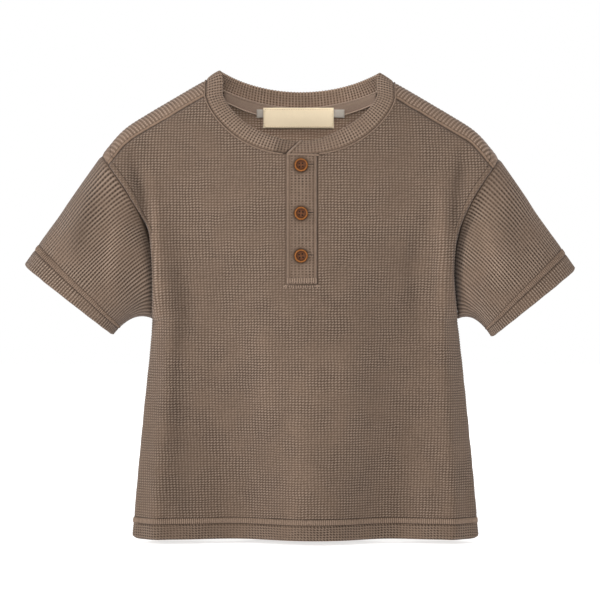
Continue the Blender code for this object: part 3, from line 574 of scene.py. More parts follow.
def cut_cells(values, depth):
    """The cells of a grid inside depth 0, those on its line cut along it."""
    rows, columns = depth.shape
    number = np.arange(rows * columns).reshape(rows, columns)
    corners = np.stack([number[:-1, :-1], number[:-1, 1:], number[1:, 1:], number[1:, :-1]],
                       axis=-1).reshape(-1, 4)
    flat = depth.reshape(-1)
    points = values.reshape(rows * columns, -1)
    inside = flat[corners] > 0.0
    whole = corners[inside.all(axis=1)]
    cut = corners[inside.any(axis=1) & ~inside.all(axis=1)]
    added, made, pieces = [], {}, []
    for cell in cut.tolist():
        face = []
        for start, end in zip(cell, cell[1:] + cell[:1]):
            if flat[start] > 0.0:
                face.append(start)
            if (flat[start] > 0.0) != (flat[end] > 0.0):
                key = (min(start, end), max(start, end))
                if key not in made:
                    share = flat[key[0]] / (flat[key[0]] - flat[key[1]])
                    made[key] = len(points) + len(added)
                    added.append(points[key[0]] + (points[key[1]] - points[key[0]]) * share)
                face.append(made[key])
        if len(face) > 2:
            pieces.append(face)
    if added:
        points = np.concatenate([points, np.array(added)])
    sizes = np.array([4] * len(whole) + [len(face) for face in pieces])
    loops = np.concatenate([whole.ravel(), [corner for face in pieces for corner in face]]).astype(int)
    used, loops = np.unique(loops, return_inverse=True)
    return points[used], loops.ravel(), sizes


def border_of(loops, sizes):
    """Pairs of points along the open edges of a mesh, in the order of its faces."""
    starts = np.repeat(np.cumsum(sizes) - sizes, sizes)
    ends = np.repeat(np.cumsum(sizes), sizes)
    after = np.arange(len(loops)) + 1
    after = np.where(after == ends, starts, after)
    pairs = np.stack([loops, loops[after]], axis=1)
    top = loops.max() + 1
    there = pairs[:, 0] * top + pairs[:, 1]
    back = pairs[:, 1] * top + pairs[:, 0]
    return pairs[~np.isin(there, back)]


def build_mesh(name, places, loops, sizes, maps, material):
    """An object from points in millimetres and faces, with a UV map for each entry of maps."""
    mesh = bpy.data.meshes.new(name)
    mesh.vertices.add(len(places))
    mesh.vertices.foreach_set("co", (places * MM).ravel())
    mesh.loops.add(len(loops))
    mesh.loops.foreach_set("vertex_index", loops.astype(np.int32))
    mesh.polygons.add(len(sizes))
    mesh.polygons.foreach_set("loop_start", (np.cumsum(sizes) - sizes).astype(np.int32))
    mesh.update(calc_edges=True)
    mesh.validate()
    for title, values in maps.items():
        layer = mesh.uv_layers.new(name=title)
        layer.data.foreach_set("uv", values[loops].astype(np.float32).ravel())
    mesh.materials.append(material)
    mesh.shade_smooth()
    piece = bpy.data.objects.new(name, mesh)
    bpy.context.scene.collection.objects.link(piece)
    return piece


def grid_field(place, across, up, depth, seam, hem=FAR, arm=FAR, welt=FAR, shade=0.0):
    """What each point of a cloth grid holds: place, knit counts across and up, distance in from the
    cut edge, from the nearest seam, the hem, the armhole and the welt's seam, and its painted shade."""
    values = dict(u=across, v=up, depth=depth, seam=seam, hem=hem, arm=arm, welt=welt, shade=shade)
    return {"place": place, **{key: np.broadcast_to(value, place.shape[:2]) for key, value in values.items()}}


def cloth_side(name, field, material, facing, relief, offset=0.0, rim=0.0):
    """One side of a cloth piece; rim turns its edges in by the wall's thickness."""
    normals = grid_normals(field["place"], facing)
    counts = np.stack([field[key] for key in ("u", "v", "seam", "hem", "arm", "welt", "shade")], axis=-1)
    grid = np.concatenate([field["place"], normals, counts], axis=-1)
    points, loops, sizes = cut_cells(grid, field["depth"])
    places, normals, values = points[:, :3], unit(points[:, 3:6]), points[:, 6:]
    lift = offset + relief(values[:, :2], values[:, 2:4], values[:, 4:6])
    places = places + normals * lift[:, None]
    if rim:
        pairs = border_of(loops, sizes)
        border, place_in = np.unique(pairs, return_inverse=True)
        place_in = place_in.reshape(pairs.shape) + len(places)
        quads = np.stack([pairs[:, 1], pairs[:, 0], place_in[:, 0], place_in[:, 1]], axis=1)
        places = np.concatenate([places, places[border] - normals[border] * rim])
        values = np.concatenate([values, values[border]])
        loops = np.concatenate([loops, quads.ravel()])
        sizes = np.concatenate([sizes, np.full(len(quads), 4)])
    values = np.pad(values, ((0, 0), (0, 1)))
    maps = {title: values[:, 2 * k:2 * k + 2] for k, title in enumerate(("Knit", "Edge", "Trim", "Shade"))}
    return build_mesh(name, places, loops, sizes, maps, material)


def waffle(knit, across, along, corner):
    """Height of the knit's ridges, about -1 to 1, from its counts."""
    level, upright = np.cos(2.0 * math.pi * knit).T
    return across * level + along * upright + corner * level * upright


def seam_dip(distance):
    return -SEAM_DIP * bell(distance, SEAM_REACH)


def hem_edge(distance):
    """The turned edge of a hem draws in round its fold."""
    inside = np.clip(1.0 - distance / HEM_ROUND, 0.0, 1.0)
    return -HEM_ROUND * (1.0 - np.sqrt(1.0 - inside ** 2))


def stitched_band(hem):
    """Where the cover stitches above a hem flatten the knit, 0 to 1, and the grooves along them."""
    band = smoothstep(hem, *STITCH_BAND_IN) * (1.0 - smoothstep(hem, *STITCH_BAND_OUT))
    return band, 0.45 * bell(hem - STITCH_BAND[0], 0.7) + 0.3 * bell(hem - STITCH_BAND[1], 0.7)


def panel_relief(knit, edge, trim):
    seam, hem = edge[:, 0], edge[:, 1]
    arm, welt = trim[:, 0], trim[:, 1]
    calm = 0.55 + 0.45 * smoothstep(arm, ARM_STITCHING - 0.6, ARM_STITCHING + 0.6)
    calm = calm * smoothstep(seam, 0.6, 1.8) * smoothstep(welt, WELT - 0.4, WELT + 0.4)
    strip = 1.0 - smoothstep(welt, *SHOULDER_STRIP)
    uneven = 1.0 + 0.3 * soft_noise(5, knit[:, 0] / 9.0, knit[:, 1] / 9.0)
    ridges = waffle(knit, *PANEL_WAFFLE) * (1.0 - strip) + waffle(knit, *STRIP_WAFFLE) * strip
    band, grooves = stitched_band(hem)
    height = RELIEF * ridges * calm * uneven * (1.0 - band)
    grooves = grooves + 0.25 * bell(arm - ARM_STITCHING, 0.5) + 0.3 * bell(welt - WELT, 0.5)
    raised = 0.45 * bell(welt - 0.5 * WELT - 0.3, 0.75)
    return height + raised + seam_dip(seam) + hem_edge(hem) - grooves


def inside_relief(knit, edge, trim):
    """The inside's ridges, shallower, which go into the wall."""
    return -0.5 * RELIEF * waffle(knit, *INSIDE_WAFFLE) * smoothstep(edge[:, 0], 0.6, 2.0)


# ---- front and back panels -------------------------------------------------

def course_z(count):
    return HEM_Z + COURSE_HEM * count + COURSE_GAIN * count ** 2


def rows_across(heights, lengths, face):
    """Points of a face at each height and each length along the cloth from its middle."""
    xi = np.sin(np.linspace(-0.5 * math.pi, 0.5 * math.pi, 2 * HALF_ROW + 1))
    places, left, right = [], [], []
    for z in heights:
        line = body_point(xi, z, face)
        run = run_along(line)
        run = run - run[HALF_ROW]
        places.append(at_length(lengths, run, line))
        left.append(lengths - run[0])
        right.append(run[-1] - lengths)
    return np.array(places), np.minimum(np.array(left), np.array(right))


def slope_share(curve, x):
    """Cosine of the slope of a curve z(x)."""
    slope = curve(x + 0.5) - curve(x - 0.5)
    return 1.0 / np.sqrt(1.0 + slope ** 2)


def course_count(z):
    """Courses from the hem up to height z."""
    gain = 2.0 * COURSE_GAIN
    return (math.sqrt(COURSE_HEM ** 2 + 2.0 * gain * (z - HEM_Z)) - COURSE_HEM) / gain


def front_field(step):
    across = np.arange(-FRONT_WALES, FRONT_WALES + 0.5 * step, step)
    up = np.arange(-1.0, course_count(NECK_POINT_Z), step)
    places, side = rows_across(course_z(up), across * WALE, "front")
    places = creased(places, 1.0, side, SINK_PANEL, CREASES["front"])
    places = wobbled(places, KNIT_SEEDS["front"], across, up[:, None])
    x, z = places[..., 0], places[..., 2]
    top = (front_top_z(x) - z) * slope_share(front_top_z, x)
    hem = z - HEM_Z - HEM_CORNER_LIFT * bell(side, HEM_CORNER_HALF)
    middle = 0.5 * (PLACKET_LEFT + PLACKET_RIGHT)
    half = 0.5 * (PLACKET_RIGHT - PLACKET_LEFT)
    soft_edge = SOFT_EDGE * smoothstep(middle - x, 0.0, half)
    slit = np.maximum(np.abs(x - middle) - half, PLACKET_BOTTOM - z)
    cut = np.minimum(np.minimum(side, top), slit)
    seam = np.minimum(np.minimum(side, top), slit + soft_edge)
    return grid_field(places, across, up[:, None], np.minimum(cut + SEAM_OVER, hem - HEM_SHORT), seam, hem,
                      arm=side + FAR * smoothstep(-z, *ARM_STITCHING_TO),
                      shade=cloth_shade(places, side, DARK_PANEL, CREASES["front"]))


def back_field(step):
    across = np.arange(-BACK_WALES, BACK_WALES + 0.5 * step, step)
    turn_z = FACES["back"]["round_z"]
    turn_count = course_count(turn_z)
    up = np.arange(-1.0, turn_count + SHOULDER_COURSES, step)
    low = up[up <= turn_count]
    high = up[up > turn_count]
    places, side = rows_across(course_z(low), across * WALE, "back")
    start_row, _ = rows_across([turn_z], across * WALE, "back")
    upper = over_shoulder(start_row[0, :, 0], across * WALE, (high - turn_count) * COURSE_BACK)
    ux, uy, uz = upper[..., 0], upper[..., 1], upper[..., 2]
    in_front = uy < 0.0
    edge_right = np.where(in_front, body_x(1.0, uz, "front"), body_x(1.0, uz, "back"))
    edge_left = np.where(in_front, body_x(-1.0, uz, "front"), body_x(-1.0, uz, "back"))
    upper_side = np.minimum(edge_right - ux, ux - edge_left)
    beside_neck = np.abs(ux) - NECK_HALF
    below_neck = (back_neck_z(ux) - uz) * slope_share(back_neck_z, ux)
    neck = np.where(in_front, beside_neck, np.maximum(beside_neck, below_neck))
    above_seam = (uz - shoulder_seam_z(ux)) * slope_share(shoulder_seam_z, ux)
    welt = np.where(in_front, above_seam, FAR)
    place = np.concatenate([places, upper])
    side = np.concatenate([side, upper_side])
    place = creased(place, -1.0, side, SINK_PANEL, CREASES["back"])
    place = wobbled(place, KNIT_SEEDS["back"], across, up[:, None])
    seam = np.concatenate([side[:len(low)], np.minimum(np.minimum(upper_side, neck), welt)])
    z = place[..., 2]
    lifted = HEM_CORNER_LIFT * bell(side, HEM_CORNER_HALF)
    hem = np.where(up[:, None] < turn_count, z - HEM_Z - lifted, FAR)
    arm = side + FAR * smoothstep(-z, -UNDERARM_Z - 6.0, -UNDERARM_Z + 4.0)
    welt = np.concatenate([FAR + 0.0 * places[..., 0], welt])
    return grid_field(place, across, up[:, None], np.minimum(seam + SEAM_OVER, hem - HEM_SHORT), seam, hem,
                      arm, welt, cloth_shade(place, side, DARK_PANEL, CREASES["back"]))


def over_shoulder(x, lengths, rise):
    """Points up the back from the heights where it rounds, over the ridge, then across the seam's way."""
    spread = np.abs(x) < SHOULDER_SPREAD
    slope = np.gradient(x, lengths)[spread][-1]
    last = np.abs(lengths[spread]).max()
    beyond = np.sign(lengths) * (np.abs(x[spread]).max() + (np.abs(lengths) - last) * slope)
    wide = np.where(spread, x, beyond)
    x = x + (wide - x) * smoothstep(rise, 0.0, 30.0)[:, None]
    columns = np.arange(-TABLE_SPAN, TABLE_SPAN + 0.5 * TABLE_STEP, TABLE_STEP)
    profile, run = shoulder_profiles(columns)
    steps = np.arange(0.0, TABLE_RISE, 1.0)
    table = np.stack([at_length(steps, run[:, k], profile[:, k]) for k in range(len(columns))], axis=1)
    ridge_run = run[PROFILE_STEPS]
    past = np.clip(rise[:, None] - np.interp(x, columns, ridge_run), 0.0, None)
    angle = math.atan(SHOULDER_SLOPE) * smoothstep(np.abs(x), 20.0, 70.0)
    moved = x - np.sign(x) * np.sin(angle) * past
    way = np.where(past > 0.0, np.interp(moved, columns, ridge_run) + past / np.cos(angle), rise[:, None])
    return look_up(table, way, (moved + TABLE_SPAN) / TABLE_STEP)


def shoulder_profiles(x):
    """Lines up the back above each x, over the ridge and down the front, with their lengths."""
    ridge = ridge_z(x)
    turns = np.linspace(0.0, 0.5 * math.pi, PROFILE_STEPS + 1)[:, None]
    halves = []
    for face, angles in (("back", turns), ("front", turns[::-1][1:])):
        start = FACES[face]["round_z"]
        z = start + (ridge - start) * np.sin(angles)
        across = x + 0.0 * z
        depth = body_depth(column_at(across, z, face), z, face)
        y = FACES[face]["sign"] * depth * np.cos(angles)
        halves.append(np.stack([across, y, z], axis=-1))
    profile = np.concatenate(halves)
    return profile, run_along(profile)


# ---- sleeves ---------------------------------------------------------------

def armhole_line(side, face):
    """The armhole's edge on one face, from the ridge down to the underarm, evenly spaced."""
    tip = ridge_z(SHOULDER_TIP_HALF * side)
    turn = np.linspace(0.5 * math.pi, 0.0, 241)
    z = UNDERARM_Z + (tip - UNDERARM_Z) * np.sin(turn)
    line = body_point(side + 0.0 * z, z, face)
    run = run_along(line)
    return at_length(np.linspace(0.0, run[-1], ARMHOLE_MARKS), run, line)


def sleeve_surface(sizes, along, share):
    """Places on a sleeve, from armhole 0 to cuff 1 and round it from underarm to underarm, 0 to 2."""
    side = sizes["side"]
    marks = np.linspace(0.0, 1.0, ARMHOLE_MARKS)
    front = armhole_line(side, "front")
    back = armhole_line(side, "back")[::-1]
    share = share + SLEEVE_SPREAD * np.sin(2.0 * math.pi * share) / (2.0 * math.pi)
    bend = SLEEVE_BEND * np.sin(math.pi * np.clip(along, 0.0, 1.0) ** SLEEVE_BEND_EARLY)
    share = share - bend[:, None] * np.sin(math.pi * share)
    armhole = np.where((share <= 1.0)[..., None],
                       np.stack([np.interp(share, marks, front[:, k]) for k in range(3)], axis=-1),
                       np.stack([np.interp(share - 1.0, marks, back[:, k]) for k in range(3)], axis=-1))
    outer = np.array([sizes["outer"][0], 0.0, sizes["outer"][1]])
    inner = np.array([sizes["inner"][0], 0.0, sizes["inner"][1]])
    turn = math.pi * share
    across = np.sign(np.cos(turn)) * np.abs(np.cos(turn)) ** (2.0 / CUFF_POWER)
    depth = -np.sign(np.sin(turn)) * np.abs(np.sin(turn)) ** (2.0 / CUFF_POWER)
    cuff = 0.5 * (outer + inner) + across[..., None] * 0.5 * (outer - inner)
    cuff = cuff + depth[..., None] * np.array([0.0, sizes["depth"], 0.0])
    faces = np.sin(math.pi * share)
    under = bell(share - 1.0, 0.22)
    crest = np.where(faces > 0.0, -SLEEVE_CREST_FRONT * faces, -SLEEVE_CREST_BACK * faces)
    places = armhole + (cuff - armhole) * along[:, None, None]
    swell = np.sin(math.pi * np.clip(along, 0.0, 1.0) ** (math.log(0.5) / math.log(SLEEVE_CREST_AT)))
    places[..., 1] += crest * swell[:, None]
    lift = np.sin(math.pi * np.clip(along, 0.0, 1.0)) ** 0.8
    places[..., 2] += SLEEVE_UNDER_LIFT * under * lift[:, None]
    return places


def sleeve_field(sizes, step):
    """Grid of a sleeve: along it from armhole to cuff, round it from underarm to underarm."""
    count = np.arange(0.0, SLEEVE_RIBS + 0.5 * step, step)
    share = np.mod(1.0 + 2.0 * count / SLEEVE_RIBS, 2.0)
    dots = np.arange(-step, SLEEVE_LENGTH / SLEEVE_DOT + step, step)
    along = dots * SLEEVE_DOT / SLEEVE_LENGTH
    places = sleeve_surface(sizes, along, share)
    seam = along[:, None] * SLEEVE_LENGTH + 0.0 * share
    name = "sleeve_left" if sizes["side"] < 0.0 else "sleeve_right"
    shape = creased(places, -sizes["side"], seam, SINK_SLEEVE, CREASES[name])
    fade = smoothstep(count, 0.0, 3.0) * (1.0 - smoothstep(count, SLEEVE_RIBS - 3.0, SLEEVE_RIBS))
    strayed = wobbled(shape, KNIT_SEEDS["sleeve"], count, dots[:, None])
    places = shape + (strayed - shape) * (0.45 * fade[:, None])
    hem = SLEEVE_LENGTH - seam
    return grid_field(places, dots[:, None], count, np.minimum(seam + 1.0, hem) + EDGE_IN, seam, hem, seam,
                      shade=cloth_shade(places, seam, DARK_SLEEVE, CREASES[name]))


def sleeve_relief(knit, edge, trim):
    seam, hem = edge[:, 0], edge[:, 1]
    uneven = 1.0 + 0.25 * soft_noise(6, knit[:, 0] / 7.0, knit[:, 1] / 9.0)
    ridges = waffle(knit, *SLEEVE_WAFFLE) * smoothstep(seam, 0.4, 1.6) * uneven
    band, grooves = stitched_band(hem)
    return RELIEF * ridges * (1.0 - band) + seam_dip(seam) + hem_edge(hem) - grooves


# ---- neckband --------------------------------------------------------------

def neck_route(front_steps, shoulder_steps, back_steps):
    """Neck seam from the placket's left edge, once round by the back, and past it."""

    def front(x):
        z = front_neck_z(x)
        return body_point(column_at(x, z, "front"), z, "front")

    def shoulder(side):
        x = side * NECK_HALF
        low = shoulder_seam_z(np.array(x))
        start = FACES["front"]["round_z"]
        ridge = ridge_z(np.array(x))
        first = math.asin((low - start) / (ridge - start))
        z = start + (ridge - start) * np.sin(np.linspace(first, 0.5 * math.pi, shoulder_steps + 1)[1:-1])
        return body_point(column_at(x + 0.0 * z, z, "front"), z, "front")

    def eased(start, end, count):
        share = 1.0 - (1.0 - np.linspace(0.0, 1.0, count + 1)) ** 1.35
        return start + (end - start) * share

    across = np.concatenate([np.linspace(PLACKET_LEFT, PLACKET_RIGHT, front_steps // 4)[:-1],
                             eased(PLACKET_RIGHT, NECK_HALF, front_steps)])
    behind = np.linspace(NECK_HALF, -NECK_HALF, back_steps + 1)
    z = back_neck_z(behind)
    back = body_point(column_at(behind, z, "back"), z, "back")
    return np.concatenate([front(across), shoulder(1.0), back, shoulder(-1.0)[::-1],
                           front(-eased(-PLACKET_LEFT, NECK_HALF, front_steps)[::-1]),
                           front(np.linspace(PLACKET_LEFT, PLACKET_RIGHT, front_steps // 3)[1:-1])])


def band_lean(points):
    """Unit steps from the neck seam to the folded edge of the neckband."""
    run = np.gradient(points, axis=0)
    in_view = unit(run[:, [0, 2]])
    across = np.stack([-in_view[:, 1], in_view[:, 0]], axis=1)
    middle = bell(points[:, 0], BAND_DIP_HALF)
    slope = -BAND_FOLD_IN * points[:, 1] / FACES["front"]["chest"] + BAND_DIP * middle
    in_front = unit(np.stack([across[:, 0], slope, across[:, 1]], axis=1))
    in_plan = unit(run[:, :2])
    share = np.clip(points[:, 1] / points[:, 1].max(), 0.0, 1.0)
    side = np.where(points[:, 0] < 0.0, *BAND_RISE_SIDE)
    rise = np.radians(side + (BAND_RISE_BACK - side) * share)
    behind = np.stack([-in_plan[:, 1] * np.cos(rise), in_plan[:, 0] * np.cos(rise), np.sin(rise)], axis=1)
    weight = smoothstep(points[:, 1], *BAND_TURN)[:, None]
    leans = unit(in_front * (1.0 - weight) + behind * weight)
    for _ in range(3):
        leans[1:-1] = unit(leans[:-2] + 2.0 * leans[1:-1] + leans[2:])
    return leans


def band_frames(places):
    """Foot, lean, outward step and width of the neckband at lengths along the seam."""
    coarse = neck_route(*NECK_COARSE)
    coarse_run = run_along(coarse)
    coarse_leans = band_lean(coarse)
    fine = neck_route(*NECK_FINE)
    run = run_along(fine)
    share = places / run[-1]
    foot = at_length(places, run, fine)
    lean = np.stack([np.interp(share, coarse_run / coarse_run[-1], coarse_leans[:, k])
                     for k in range(3)], axis=1)
    for _ in range(12):
        lean[1:-1] = unit(lean[:-2] + 2.0 * lean[1:-1] + lean[2:])
    outward = unit(np.cross(np.gradient(foot, axis=0), lean))
    wider = BAND_WIDER_RIGHT * bell(foot[:, 0] - BAND_WIDER_AT, BAND_WIDER_HALF) * (foot[:, 1] < 0.0)
    return foot, lean, outward, BAND_WIDTH + wider, run[-1]


def band_field(step):
    """Grid of the neckband: along it, and up its outside, over the fold and down inside."""
    length = run_along(neck_route(*NECK_FINE))[-1]
    counts = np.arange(0.0, length / BAND_RIB + step, step)
    places = counts * BAND_RIB
    fold = 0.5 * BAND_WALL
    flat = BAND_WIDTH - fold
    section = 2.0 * flat + math.pi * fold
    ups = np.arange(0.0, section / BAND_COURSE + 0.5 * step, step)
    foot, lean, outward, width, _ = band_frames(places)
    tuck = BAND_TUCK * smoothstep(places, length - BAND_TUCK_OVER[0], length - BAND_TUCK_OVER[1])
    rows, rises = [], []
    for up in ups:
        way = min(up * BAND_COURSE, section)
        if way <= flat:
            rise, inward = way, 0.0
        elif way <= flat + math.pi * fold:
            angle = (way - flat) / fold
            rise, inward = flat + fold * math.sin(angle), fold * (1.0 - math.cos(angle))
        else:
            rise, inward = flat - (way - flat - math.pi * fold), BAND_WALL
        bulge = BAND_BULGE * math.sin(math.pi * min(1.0, rise / BAND_WIDTH))
        row = foot + lean * (rise * width / BAND_WIDTH)[:, None] + outward * (bulge - inward)
        row[:, 1] += tuck
        rows.append(row)
        rises.append(rise)
    place = np.array(rows)
    along = places + 0.0 * place[..., 0]
    rise = np.array(rises)[:, None] / BAND_WIDTH
    way = ups[:, None] * BAND_COURSE + 0.0 * along
    slanted = BAND_SLANT * np.clip(rise, 0.0, 1.0)
    end = np.minimum(along - slanted, length - along)
    lap = PLACKET_RIGHT - PLACKET_LEFT
    # distance from the lapping end's slanted edge, which sets the painted shadow on the under end
    under = np.abs(length - lap + slanted - along) + FAR * (along < 0.5 * length)
    seam = np.minimum(way, section - way)
    # painted shade on the band's inner side at the sides of the neck
    dark = smoothstep(np.abs(place[..., 0]), *BAND_DARK_X) * smoothstep(way / section, *BAND_DARK_UP)
    return grid_field(place, counts, ups[:, None], end + EDGE_IN, seam, hem=end, arm=under,
                      shade=BAND_PAINTED_SHADE * dark)


def band_relief(knit, edge, trim):
    seam, end = edge[:, 0], edge[:, 1]
    calm = smoothstep(seam, 0.4, 1.8) * smoothstep(end, 1.8, 3.0)
    welt = 0.7 * bell(end - 1.1, 1.0) - 0.3 * bell(end - 2.9, 0.6)
    return RELIEF * waffle(knit, *BAND_WAFFLE) * calm + welt - 0.3 * bell(seam, 0.9)


# ---- cords, strips and small pieces ----------------------------------------

def tube(name, line, radius, material, sides=8, squash=1.0):
    """A round or flattened cord along a line of points in millimetres."""
    line = np.asarray(line, float)
    ahead = unit(np.gradient(line, axis=0))
    beside = unit(np.cross(ahead, [0.0, -1.0, 0.0]))
    above = unit(np.cross(beside, ahead))
    angles = np.linspace(0.0, 2.0 * math.pi, sides, endpoint=False)
    rings = (line[:, None] + beside[:, None] * (radius * np.cos(angles))[None, :, None]
             + above[:, None] * (squash * radius * np.sin(angles))[None, :, None])
    count = len(line)
    number = np.arange(count * sides).reshape(count, sides)
    after = np.roll(number, -1, axis=1)
    quads = np.stack([number[:-1], number[1:], after[1:], after[:-1]], axis=-1).reshape(-1, 4)
    loops = np.concatenate([quads.ravel(), number[0], number[-1][::-1]])
    sizes = np.concatenate([np.full(len(quads), 4), [sides, sides]])
    run = run_along(line)
    knit = np.stack([np.repeat(run, sides) / WALE, np.tile(angles, count)], axis=1)
    return build_mesh(name, rings.reshape(-1, 3), loops, sizes, {"Knit": knit}, material)


def strip_field(left, right, top, bottom, out, wale, course, step):
    """Grid of a strip on the front between two straight edges, with rounded sides."""
    across = np.arange(0.0, (right - left) / wale + 0.5 * step, step)
    up = np.arange(0.0, (top - bottom) / course + 2.0, step)
    x = left + (right - left) * across / across[-1]
    z = bottom + up * course
    x, z = np.meshgrid(x, z)
    place = on_body(x, z, "front", out + 0.0 * x)
    side = np.minimum(x - left, right - x)
    high = (front_neck_z(x) - z) * slope_share(front_neck_z, x)
    low = z - bottom
    # distance from the nearest button's rim: it sets the painted shadow round the button and the cloth's pull
    button = np.min([np.hypot(x - BUTTON_X, z - height) for height in BUTTON_HEIGHTS], axis=0)
    return grid_field(place, across, up[:, None], np.minimum(np.minimum(side, high), low) + EDGE_IN, side,
                      hem=low, arm=high, welt=button - 0.5 * BUTTON_DIAMETER)


def placket_relief(knit, edge, trim):
    side, low, high, button = edge[:, 0], edge[:, 1], trim[:, 0], trim[:, 1]
    welt = bell(side - 1.3, 1.1)
    pulled = 0.5 * bell(np.clip(button, 0.0, None), 1.8)
    calm = smoothstep(side, 2.2, 3.4) * smoothstep(low, 6.2, 7.2) * smoothstep(high, 1.0, 2.4)
    box = 1.0 - smoothstep(low, 5.6, 6.2)
    grooves = 0.45 * bell(low - 6.4, 0.5) + 0.4 * bell(side - 2.8, 0.45) * (1.0 - box)
    edge_round = -0.8 * bell(side, 0.7) - 0.6 * bell(low, 0.6)
    return (RELIEF * waffle(knit, *PLACKET_WAFFLE) * calm
            + 0.4 * welt * (1.0 - box) + 0.2 * box - grooves + edge_round - pulled)


def flat_strip(name, left, right, top, bottom, depth, wall, material, bow=0.0, rows=9, columns=56):
    """A strip inside the back panel, this deep behind its outer face, as a closed thin piece."""
    x = np.linspace(left, right, columns)
    share = np.linspace(0.0, 1.0, rows)[:, None]
    tops = top(x) if callable(top) else top + 0.0 * x
    bottoms = bottom(x) if callable(bottom) else bottom + 0.0 * x
    z = tops + (bottoms - tops) * share
    x = x + 0.0 * z
    ripple = bow * np.sin(math.pi * share) * (0.6 + 0.4 * np.sin(0.17 * x + 1.3))
    rounding = 0.35 * wall * sum(bell(off, 0.8) for off in (x - left, right - x, tops - z, z - bottoms))
    outer = on_body(x, z, "back", -depth - rounding)
    inner = on_body(x, z, "back", -depth - wall - ripple + rounding)
    count = rows * columns
    number = np.arange(count).reshape(rows, columns)
    quads = np.stack([number[:-1, :-1], number[:-1, 1:], number[1:, 1:], number[1:, :-1]],
                     axis=-1).reshape(-1, 4)
    rim = np.concatenate([number[0], number[1:, -1], number[-1, -2::-1], number[-2:0:-1, 0]])
    beside = np.roll(rim, -1)
    sides = np.stack([beside, rim, rim + count, beside + count], axis=1)
    loops = np.concatenate([quads.ravel(), (quads[:, ::-1] + count).ravel(), sides.ravel()])
    places = np.concatenate([outer.reshape(-1, 3), inner.reshape(-1, 3)])
    flat = np.stack([x.ravel(), z.ravel()], axis=1)
    knit = np.concatenate([flat, flat])
    near = np.minimum(x - left, right - x).ravel()
    low = np.minimum(z - bottoms, tops - z).ravel()
    edge = np.stack([near, low], axis=1)
    return build_mesh(name, places, loops, np.full(len(loops) // 4, 4),
                      {"Knit": knit, "Edge": np.concatenate([edge, edge])}, material)


def stitches(name, starts, ends, normals, radius, material):
    """Short threads from starts to ends, one mesh of rods that taper at both ends."""
    shares = np.array([0.0, 0.12, 0.5, 0.88, 1.0])
    girths = radius * np.array([0.3, 0.85, 1.0, 0.85, 0.3])
    heights = radius * np.array([-0.5, 0.2, 0.45, 0.2, -0.5])
    count, rings_each, sides = len(starts), len(shares), 6
    angles = np.linspace(0.0, 2.0 * math.pi, sides, endpoint=False)
    ahead = unit(ends - starts)
    beside = unit(np.cross(ahead, normals))
    above = np.cross(beside, ahead)
    centres = starts[:, None] + (ends - starts)[:, None] * shares[:, None] + above[:, None] * heights[:, None]
    around = beside[:, None] * np.cos(angles)[:, None] + above[:, None] * np.sin(angles)[:, None]
    rings = centres[:, :, None] + around[:, None] * girths[:, None, None]
    number = np.arange(count * rings_each * sides).reshape(count, rings_each, sides)
    after = np.roll(number, -1, axis=2)
    quads = np.stack([number[:, :-1], number[:, 1:], after[:, 1:], after[:, :-1]], axis=-1).reshape(-1, 4)
    caps = np.concatenate([number[:, 0], number[:, -1, ::-1]])
    loops = np.concatenate([quads.ravel(), caps.ravel()])
    sizes = np.concatenate([np.full(len(quads), 4), np.full(len(caps), sides)])
    which = np.repeat(np.arange(float(count)), rings_each * sides)
    knit = np.stack([which, np.tile(np.repeat(shares, sides), count)], axis=1)
    return build_mesh(name, rings.reshape(-1, 3), loops, sizes, {"Knit": knit}, material)


def hem_stitches(face, material):
    """The cover stitches above a panel's hem."""
    lengths = np.arange(-175.0, 175.0, STITCH_PITCH)
    heights = [HEM_Z + STITCH_BAND[0] + 0.3, HEM_Z + STITCH_BAND[1] - 0.3]
    facing = -FACES[face]["sign"]
    places, side = rows_across(heights, lengths, face)
    places = creased(places, facing, side, SINK_PANEL, CREASES[face])
    normals = grid_normals(places, facing)
    kept = side[0] > 1.6
    places = places - normals * STITCH_SUNK
    return stitches(f"{face}_hem_stitches", places[0, kept], places[1, kept], normals[0, kept],
                    STITCH_RADIUS, material)


def sleeve_stitches(side, sizes, material):
    share = np.linspace(0.0, 2.0, 139)[:-1]
    along = 1.0 - (np.array([STITCH_BAND[1], STITCH_BAND[0]]) + np.array([-0.3, 0.3])) / SLEEVE_LENGTH
    places = sleeve_surface(sizes, along, share)
    seam = along[:, None] * SLEEVE_LENGTH + 0.0 * share
    places = creased(places, sizes["side"], seam, SINK_SLEEVE, CREASES[f"sleeve_{side}"])
    normals = grid_normals(places, sizes["side"])
    places = places - normals * STITCH_SUNK
    return stitches(f"sleeve_{side}_stitches", places[0], places[1], normals[0], STITCH_RADIUS, material)


def neck_line(first, last, down, out):
    """A line along the neck seam, moved down from it and out from the band."""
    places = np.arange(first, last, CORD_STEP)
    foot, lean, outward, _, _ = band_frames(places)
    return foot - lean * down + outward * out


# ---- materials -------------------------------------------------------------

class Value:
    """A number that a material's nodes work out; the usual signs add the nodes."""

    def __init__(self, nodes, socket):
        self.nodes = nodes
        self.socket = socket

    def __add__(self, other):
        return self.nodes.math("ADD", self, other)

    def __sub__(self, other):
        return self.nodes.math("SUBTRACT", self, other)

    def __rsub__(self, other):
        return self.nodes.math("SUBTRACT", other, self)

    def __mul__(self, other):
        return self.nodes.math("MULTIPLY", self, other)


